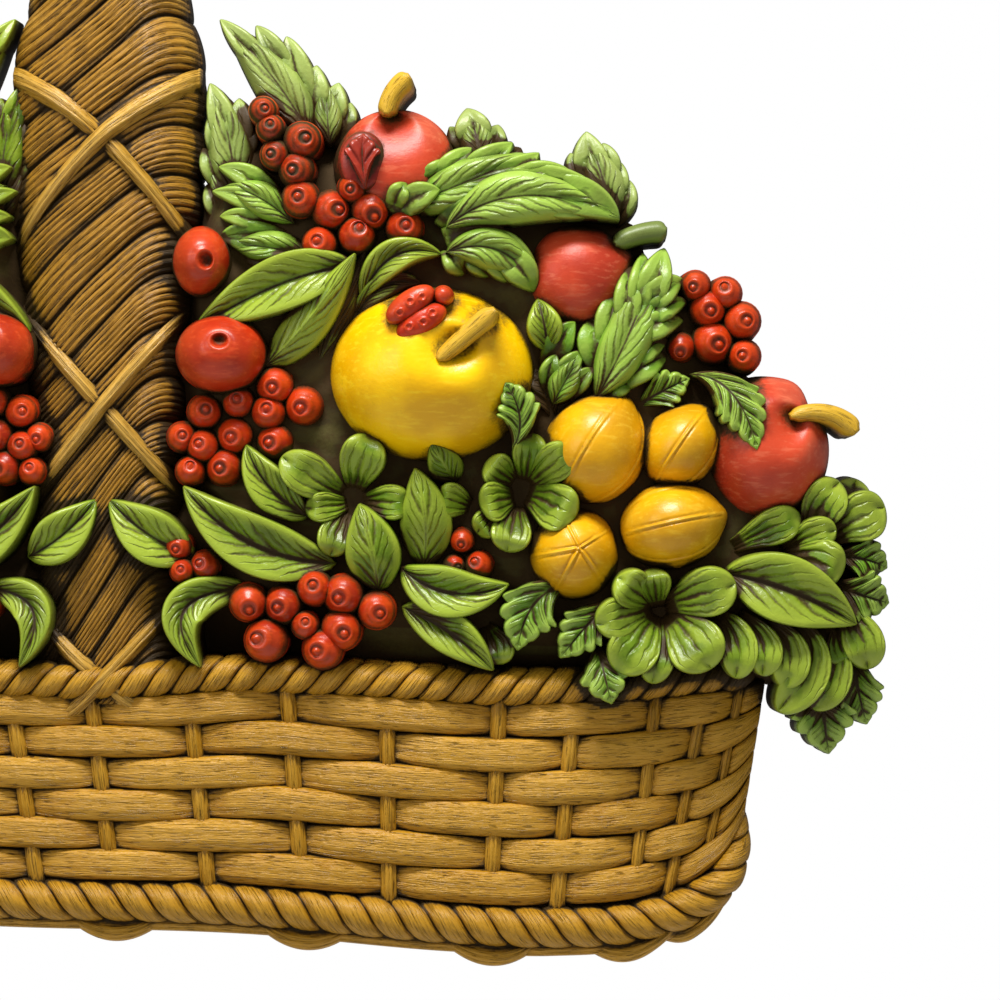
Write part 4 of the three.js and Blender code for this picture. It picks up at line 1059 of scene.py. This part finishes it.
def dome(
    piece, at, half, crown, stand, eye=(0, 0), dimple=0.0, width=0.22, ring=0.0,
    sides=84, rings=40, points=(),
):
    """A fruit's front. Its eye, in shares of its half sizes, has a dimple and a raised ring.
    points: bulges of the outline, each its angle, its size and its breadth in degrees."""
    share = np.sin(np.linspace(0.012, 1, rings) * math.pi / 2)[:, None]
    angle = np.linspace(0, 2 * math.pi, sides, endpoint=False)[None]
    x = lerp(eye[0], np.cos(angle), share)
    z = lerp(eye[1], np.sin(angle), share)
    rounded = np.sqrt(np.clip(1 - x * x - z * z, 0, 1))
    shoulder = 0.22 * np.exp(-(((share - width * 1.9) / width) ** 2))
    hollow = dimple * (np.exp(-((share / width) ** 2)) - shoulder)
    lip = ring * np.exp(-(((share - width * 1.15) / (width * 0.3)) ** 2))
    rise = crown - stand + stand * rounded - hollow + lip
    # the edge, turning down to the wall, is darkened as wash and as painted shade; the dimple at the eye is
    # darkened too
    stain = 0.55 * smooth((share - 0.84) / 0.16)
    if dimple and eye[1] < 0.6:
        stain = stain + (0.8 if ring else 0.3) * np.exp(-((share / (width * 0.7)) ** 2))
    bulge = 1 + 0 * angle
    for turned, size, breadth in points:
        off = (angle - math.radians(turned) + math.pi) % (2 * math.pi) - math.pi
        bulge = bulge + size * np.exp(-((off / math.radians(breadth)) ** 2))
    bulge = 1 + (bulge - 1) * share**3
    place = np.dstack([at[0] + half[0] * x * bulge, at[1] + half[1] * z * bulge, rise])
    piece.patch(place, stain=stain + 0 * angle, closed=True)


def fruit_skin(deep, body, light, amount):
    """Fruit paint, clouded body and deep, with light flecks drawn out sideways by the brush."""

    def paint(tree):
        place = add(tree, "ShaderNodeTexCoord").outputs["Object"]
        cloud = noise(tree, place, 38.0, 5.0)
        drawn = add(tree, "ShaderNodeMapping", {"Vector": place, "Scale": (0.3, 1.0, 1.5)}).outputs[0]
        fleck = noise(tree, drawn, 420.0, 3.0)
        mixed = mix(tree, spread(tree, cloud, 0.35, 0.65, 0.0, 0.8), colour(body), colour(deep))
        mixed = mix(tree, spread(tree, fleck, 0.5, 0.72, 0.0, 0.3), mixed, colour(light))
        return washed_and_shaded(tree, mixed, mix(tree, 0.35, mixed, colour(light)), amount)

    return paint


golden = Relief("golden_apples")
dome(golden, (131, 126), (41, 35), 62, 34, (0.27, 0.34), 6.5, 0.2, rings=56, sides=120)
dome(golden, (-106, 126), (35, 33), 60, 32, (-0.25, 0.35), 6, 0.2)
golden = golden.build()
golden.data.materials.append(finish("golden skin", fruit_skin("d89e02", "fac602", "ffe02e", 0.4), gloss=0.3))

red = Relief("red_apples")
dome(red, (116, 208), (24.5, 24), 44, 20, (-0.02, 0.9), 5, 0.32)
dome(red, (188.5, 165), (21.5, 21), 43, 20, (0.3, 0.2), points=((20, 0.12, 18), (250, 0.05, 30)))
dome(red, (264, 96), (25.5, 29), 50, 28, (0.42, 0.45), 6, 0.24, points=((38, -0.1, 14), (62, 0.03, 14)))
dome(red, (-94, 209), (21, 23), 48, 22, (0, 0.7), 4)
dome(red, (-206, 98), (23, 27), 48, 26, (-0.4, 0.4), 4)
dome(red, (-150, 165), (19, 21), 44, 20, (-0.2, 0.2))
red = red.build()
red.data.materials.append(finish("red skin", fruit_skin("a02c18", "cc4626", "e07c58", 0.5), gloss=0.4))

crab = Relief("crab_apples")
dome(crab, (39.5, 171), (11.5, 13.5), 50, 16, (0.3, -0.05), 3.4, 0.25, 1.3, sides=64)
dome(crab, (47.5, 134), (18, 15.5), 54, 18, (0.02, 0.36), 3.4, 0.18, 1.2, sides=72)
dome(crab, (-43, 136), (16, 15), 53, 18, (0, 0.42), 3.4, 0.18, 1.2, sides=64)
crab = crab.build()
crab.data.materials.append(finish("crab skin", fruit_skin("8a1c08", "b82e0c", "e05c2c", 0.7), gloss=0.32))

# A small leaf carved into the top apple's side was painted red with it.
red_leaf = Relief("red_leaf")
for turned, share in ((lambda place: place, 1.0), (to_left, 0.85)):
    at, low, high = turned((103.5, 210)), turned((105, 199)), turned((104, 220))
    dome(red_leaf, at, (9 * share, 11.5 * share), 45.5, 3, sides=40, rings=8)
    frond(red_leaf, low, turned((103, 209)), high, 6.6 * share, 2, (46.5, 49, 47), sweep=0.6)
red_leaf = red_leaf.build()
red_leaf_paint = finish("red leaf", fruit_skin("5e160c", "96241a", "c04c34", 1.1), gloss=0.34)
red_leaf.data.materials.append(red_leaf_paint)

# The ladybird: two spotted wing cases and a head, turned up to the right.
ladybird = Relief("ladybird")
TURN = math.radians(33)


def on_ladybird(along, over):
    cos, sin = math.cos(TURN), math.sin(TURN)
    return 125.5 + along * cos - over * sin, 149.5 + along * sin + over * cos


def wing_case(side):
    share = np.sin(np.linspace(0.02, 1, 24) * math.pi / 2)[:, None]
    angle = np.linspace(0, 2 * math.pi, 48, endpoint=False)[None]
    along, over = 10.5 * share * np.cos(angle), 5.0 * share * np.sin(angle)
    rise = 61.5 - 4.5 + 4.5 * np.sqrt(1 - (0.97 * share) ** 2) + 0 * angle
    for spot in ((-5.2, -0.6), (0.6, 0.8), (5.6, -0.5)):
        far = np.hypot(along - spot[0], over - spot[1] * side)
        rise = rise + 0.7 * np.exp(-(((far - 1.5) / 0.42) ** 2)) - 0.35 * np.exp(-((far / 0.7) ** 2))
    x, z = on_ladybird(along - 0.6, over + 4.0 * side + 0.03 * side * along)
    ladybird.patch(np.dstack([x, z, rise]), closed=True)


wing_case(1)
wing_case(-1)
head = on_ladybird(12.2, 0)
dome(ladybird, head, (3.6, 3.6), 59.5, 4, sides=32, rings=14)
ladybird = ladybird.build()
ladybird.data.materials.append(crab.data.materials[0])


# ---------------------------------------------------------------- the nuts
# Walnuts of the same moulding, painted like the golden apple but browner. Each has a seam along
# it and shallower seams beside, and the one that faces out shows them drawing together at its tip.


def walnut(piece, at, half, turned, crown, stand, seams, tip=None):
    """seams: where each seam lies, -1..1 across the nut, or its angle round a tip that faces out."""
    share = np.sin(np.linspace(0.012, 1, 50) * math.pi / 2)[:, None]
    angle = np.linspace(0, 2 * math.pi, 110, endpoint=False)[None]
    eye = tip or (0.0, 0.0)
    along = lerp(eye[0], np.cos(angle), share)
    over = lerp(eye[1], np.sin(angle), share)
    rounded = np.clip(1 - along**2 - over**2, 0, 1) ** 0.5
    rise = crown - stand + stand * rounded
    line = 0 * rise
    for seam in seams:
        if tip:
            reach = np.arctan2(over - eye[1], along - eye[0])
            off = np.abs((reach - math.radians(seam) + math.pi) % (2 * math.pi) - math.pi) * share * half[1]
            off = off + 0 * rise
        else:
            off = np.abs(over - seam * np.sqrt(np.clip(1.02 - along**2, 0, 1))) * half[1]
        ridge = np.exp(-((off / 0.42) ** 2))
        rise = rise + 0.55 * ridge - 0.5 * np.exp(-(((off - 1.0) / 0.4) ** 2))
        line = np.maximum(line, np.exp(-(((off - 0.95) / 0.4) ** 2)))
    cos, sin = math.cos(math.radians(turned)), math.sin(math.radians(turned))
    from_tip = np.abs((angle + math.pi) % (2 * math.pi) - math.pi)
    point = 1 + 0.09 * np.exp(-((from_tip / 0.28) ** 2)) * (tip is None)
    along = along * (1 + (point - 1) * share**3)
    x = at[0] + half[0] * along * cos - half[1] * over * sin
    z = at[1] + half[0] * along * sin + half[1] * over * cos
    stain = 0.5 * line + 0.3 * smooth((share - 0.93) / 0.07)
    piece.patch(np.dstack([x, z, rise]), stain=stain, closed=True)


nuts = Relief("walnuts")
walnut(nuts, (196, 96.4), (22.8, 20.8), 58, 56, 26, (0.2, -0.82))
walnut(nuts, (230, 97.2), (18.2, 15.6), 55, 53, 24, (0.12, -0.8))
walnut(nuts, (226.2, 66), (21, 17.6), 12, 57, 26, (0.1, -0.78, 0.85))
walnut(nuts, (187.4, 54.6), (18.8, 18), 90, 55, 26, (28, 100, 150, 218, 300), (0.14, -0.1))
walnut(nuts, (-166, 94), (21, 15), 112, 52, 24, (0.2, -0.8))
walnut(nuts, (-167, 69), (20, 15), 160, 52, 24, (0.1, -0.78))
nuts = nuts.build()
nuts.data.materials.append(finish("nut shell", fruit_skin("bc8408", "e2a60a", "f0c83c", 0.55), gloss=0.32))


# ---------------------------------------------------------------- the stalks
# The fruits' stalks, bent rods that were moulded standing on them. All but one were painted like
# the canes.

stalks = Relief("stalks")


def stalk(root, bend, tip, half, rises, swell=0.35):
    t = np.linspace(0, 1, 36)
    at, way = midrib(root, bend, tip, t)
    s = np.sin(np.linspace(-1, 1, 15) * math.pi / 2)[None]
    t = t[:, None]
    width = half * (1 + swell * (t - 0.4)) * np.clip(1 - (np.abs(2 * t - 1)) ** 12, 0.35, 1)
    x = at[:, :1] - s * width * way[:, 1:]
    z = at[:, 1:] + s * width * way[:, :1]
    rise = lerp(rises[0], rises[1], t) + width * (np.sqrt(1 - (0.95 * s) ** 2) - 1) * 1.1
    grain = np.stack(np.broadcast_arrays(t * 25, s * 3), axis=-1)
    stain = 0.15 * smooth((t - 0.85) / 0.15) + 0 * s
    stalks.patch(np.dstack([x, z, rise]), grain=grain, stain=stain, tone=0.6)


stalk((134, 131), (142, 138), (156, 150), 3.1, (62, 63.5))
stalk((113, 229), (114, 238), (122, 243.5), 3.5, (42, 43), 0.15)
stalk((273, 109), (289, 114), (299, 103), 3.2, (46, 42), 0.5)
stalk((-112, 132), (-118, 139), (-128, 148), 3, (60, 62))
stalk((-91, 229), (-92, 238), (-98.5, 243.5), 3.3, (40, 41))
stalk((-212, 110), (-226, 116), (-236, 106), 3.4, (44, 40))
stalks = stalks.build()
stalk_paint = cane("5a3c08", "b4860f", "dcb43c", 0.7)
stalks.data.materials.append(finish("stalk", stalk_paint, gloss=0.34, bump=cane_bump, bump_depth=0.2))

# the second red apple's stalk was painted with the leaves
stalks = Relief("green_stalk")
stalk((204, 178), (214, 183.5), (224, 183), 3.5, (36, 34), 0.2)
stalks = stalks.build()
stalks.data.materials.append(finish("dark stalk", green("2c3a10", "4a5e1e", "84944a"), gloss=0.4))


# ---------------------------------------------------------------- the berries
# Bunches of round berries, part of the moulding and painted red. Each has a ringed eye that looks its own
# way, with the wash round it, and darkens towards its edge and foot, as wash and as painted shade.

berries = Relief("berries")


def berry(at, radius, crown, darkened=0.0):
    way = 6.283 * hashed(at[0], at[1])
    far = 0.15 + 0.45 * hashed(at[1], radius)
    share = np.sin(np.linspace(0.02, 1, 17) * math.pi / 2)[:, None]
    angle = np.linspace(0, 2 * math.pi, 24, endpoint=False)[None]
    x = lerp(far * math.cos(way), np.cos(angle), share)
    z = lerp(far * math.sin(way), np.sin(angle), share)
    rounded = np.sqrt(np.clip(1 - x * x - z * z, 0, 1))
    eye = 0.8 * np.exp(-(((share - 0.44) / 0.09) ** 2)) - 0.75 * np.exp(-(((share - 0.26) / 0.1) ** 2))
    eye = eye + 0.5 * np.exp(-((share / 0.09) ** 2))
    rise = crown - radius * 1.05 * (1 - rounded) + eye * radius / 6.5
    # the dip inside the eye's ring is washed dark, and the edge down to the foot is darkened: wash and
    # painted shade
    stain = darkened + 0.75 * np.exp(-(((share - 0.26) / 0.09) ** 2)) + 0.75 * smooth((share - 0.68) / 0.3)
    stain = stain + 0.4 * np.exp(-(((share - 0.6) / 0.06) ** 2))
    place = np.dstack([at[0] + radius * x, at[1] + radius * z, rise])
    berries.patch(place, stain=stain + 0 * angle, tone=hashed(at[0] + at[1]), closed=True)


# how far each bunch's front stands from the wall, and its berries by x, z and radius
PAIRED_BERRIES = (
    (46, (
        (64, 230.5, 5), (67, 223.5, 5), (79.5, 218.5, 7), (69, 213, 5.5), (77.5, 207, 6.5), (79, 195.5, 7),
        (99.5, 199.5, 5.5), (91, 191, 7.5), (106.5, 191, 7.5), (101, 181, 7), (86.5, 177.5, 6.5),
        (120, 184, 7),
    )),
    (42, (
        (68.5, 121.5, 7), (80, 113.5, 7.5), (54, 115, 6), (66, 111, 6.5), (40.5, 111, 6.5), (52.5, 101.5, 7),
        (68.5, 99, 7), (31.5, 101, 5.5), (40, 97.5, 6), (35, 87.5, 5.5), (48.5, 89, 7),
    )),
    (50, (
        (58.5, 35.5, 7), (72, 34.5, 7), (84.5, 41, 6.5), (96, 38.5, 7.5), (109, 32.5, 7), (81, 26.5, 5),
        (95, 24.5, 7.5), (65.5, 20.5, 8), (88, 17, 7.5),
    )),
    (36, (
        (236, 161.5, 5.5), (248, 158.5, 6), (241, 152.5, 7), (254.5, 147.5, 7), (243, 139, 8),
        (230, 137, 5.5), (255.5, 133.5, 6),
    )),
)
RIGHT_BERRIES = (
    (44, ((30.5, 57.5, 5), (41, 50, 5.5), (32, 48, 4.5))),
    (42, ((143, 60, 4.5), (140, 50, 4), (149.5, 50, 5.5))),
)
# those on the right are pressed together, and the highest ones are painted darker
PRESSED, HIGH_DARKENING, HIGH_START, HIGH_SPAN = 1.08, 0.4, 176, 40
for crown, bunch in PAIRED_BERRIES + RIGHT_BERRIES:
    for x, z, radius in bunch:
        darkened = HIGH_DARKENING * smooth((z - HIGH_START) / HIGH_SPAN)
        berry((x, z), radius * PRESSED, crown - 2 * hashed(x, z, radius), darkened)
for crown, bunch in PAIRED_BERRIES:
    for x, z, radius in bunch:
        darkened = HIGH_DARKENING * smooth((z - HIGH_START) / HIGH_SPAN)
        berry(to_left((x, z)), radius, crown - 2 * hashed(x, z, radius), darkened)
berries = berries.build()
berries.data.materials.append(finish("berry skin", fruit_skin("861c06", "b83008", "e0581e", 0.8), gloss=0.3))


# ---------------------------------------------------------------- the wash, with painted shade and highlight
# The brown wash was wiped over the whole moulding, and the shade is painted with it: what lies below its
# surroundings is darkened, as wash and as painted shade; what stands above them was wiped clean and dry
# brushed, and is lightened as a painted highlight too.

CELL, HOLE_DEPTH = 1.0, 12
# how far round to look, the depth that counts as a full hollow there, and its weight
REACHES = ((1.6, 0.9, 0.5), (5.0, 3.4, 0.5), (14.0, 12.0, 0.1))


def blurred(heights, reach):
    steps = np.arange(-int(3 * reach), int(3 * reach) + 1)
    weights = np.exp(-0.5 * (steps / reach) ** 2)
    weights /= weights.sum()
    for axis in (0, 1):
        heights = np.apply_along_axis(lambda line: np.convolve(line, weights, mode="same"), axis, heights)
    return heights


everywhere = np.concatenate([np.concatenate(relief.points) for relief, piece in Relief.made])
low, high = everywhere[:, :2].min(axis=0) - 8, everywhere[:, :2].max(axis=0) + 8
wide, tall = np.ceil((high - low) / CELL).astype(int)
heights = np.zeros((wide, tall))
cells = ((everywhere[:, :2] - low) / CELL).astype(int)
np.maximum.at(heights, (cells[:, 0], cells[:, 1]), everywhere[:, 2])
# single cells that no point fell in take their neighbours' height
neighbours = [np.roll(heights, shift, axis=(0, 1)) for shift in ((0, 1), (1, 0), (0, -1), (-1, 0))]
nearby = np.max(neighbours, axis=0)
heights = np.where(heights < nearby - HOLE_DEPTH, nearby, heights)
levels = [(blurred(heights, reach), depth, weight) for reach, depth, weight in REACHES]

for relief, piece in Relief.made:
    points = np.concatenate(relief.points)
    i, j = (((points[:, :2] - low) / CELL) - 0.5).T
    i0, j0 = np.floor(i).astype(int), np.floor(j).astype(int)
    fi, fj = i - i0, j - j0
    hollow, ridge = np.zeros(len(points)), np.zeros(len(points))
    for level, depth, weight in levels:
        around = (
            level[i0, j0] * (1 - fi) * (1 - fj) + level[i0 + 1, j0] * fi * (1 - fj)
            + level[i0, j0 + 1] * (1 - fi) * fj + level[i0 + 1, j0 + 1] * fi * fj
        )
        below = (around - points[:, 2]) / depth
        hollow += weight * np.clip(below, 0, 1.6)
        ridge += weight * np.clip(-below, 0, 1)
    for key, values in (("hollow", hollow), ("ridge", ridge)):
        piece.data.attributes.new(key, "FLOAT", "POINT").data.foreach_set("value", values)


# ---------------------------------------------------------------- the studio
# A pale floor well below, a broad soft light above, a weaker one from the left, and white all
# round, which the paint's gloss sees only dimly.

floor_mesh = bpy.data.meshes.new("floor")
FLOOR_HALF, FLOOR_LEVEL = 0.9, -0.62
floor_mesh.from_pydata(
    [(sx * FLOOR_HALF, sy * FLOOR_HALF, FLOOR_LEVEL) for sx, sy in ((-1, -1), (1, -1), (1, 1), (-1, 1))],
    [], [(0, 1, 2, 3)],
)
floor = bpy.data.objects.new("floor", floor_mesh)
bpy.context.collection.objects.link(floor)
floor_paint = bpy.data.materials.new("pale floor")
floor_paint.use_nodes = True
floor_paint.node_tree.nodes["Principled BSDF"].inputs["Base Color"].default_value = colour("d8d6d0")
floor_paint.node_tree.nodes["Principled BSDF"].inputs["Roughness"].default_value = 0.8
floor_mesh.materials.append(floor_paint)


def softbox(name, place, aim, size, power, tint):
    data = bpy.data.lights.new(name, "AREA")
    data.shape, data.size, data.size_y = "RECTANGLE", size[0], size[1]
    data.energy, data.color = power, tint
    light = bpy.data.objects.new(name, data)
    light.location = place
    way = [a - p for a, p in zip(aim, place)]
    flat = math.hypot(way[0], way[1])
    light.rotation_euler = (math.atan2(flat, -way[2]), 0, math.atan2(-way[0], way[1]))
    bpy.context.collection.objects.link(light)


softbox("key", (0.05, -0.55, 1.25), (0.1, 0, 0.1), (0.6, 0.3), 27, (1.0, 0.985, 0.96))
softbox("side", (-0.9, -0.9, 0.5), (0.1, 0, 0.1), (0.5, 0.8), 4.0, (0.97, 0.985, 1.0))

world = bpy.data.worlds.new("white room")
bpy.context.scene.world = world
world.use_nodes = True
tree = world.node_tree
background = tree.nodes["Background"]
path = add(tree, "ShaderNodeLightPath")
background.inputs["Color"].default_value = (1.0, 1.0, 1.0, 1.0)
room = spread(tree, path.outputs["Is Glossy Ray"], 0.0, 1.0, 0.42, 0.16)
strength = maths(tree, "MAXIMUM", room, path.outputs["Is Camera Ray"])
tree.links.new(strength, background.inputs["Strength"])
bpy.context.scene.view_settings.view_transform = "Standard"
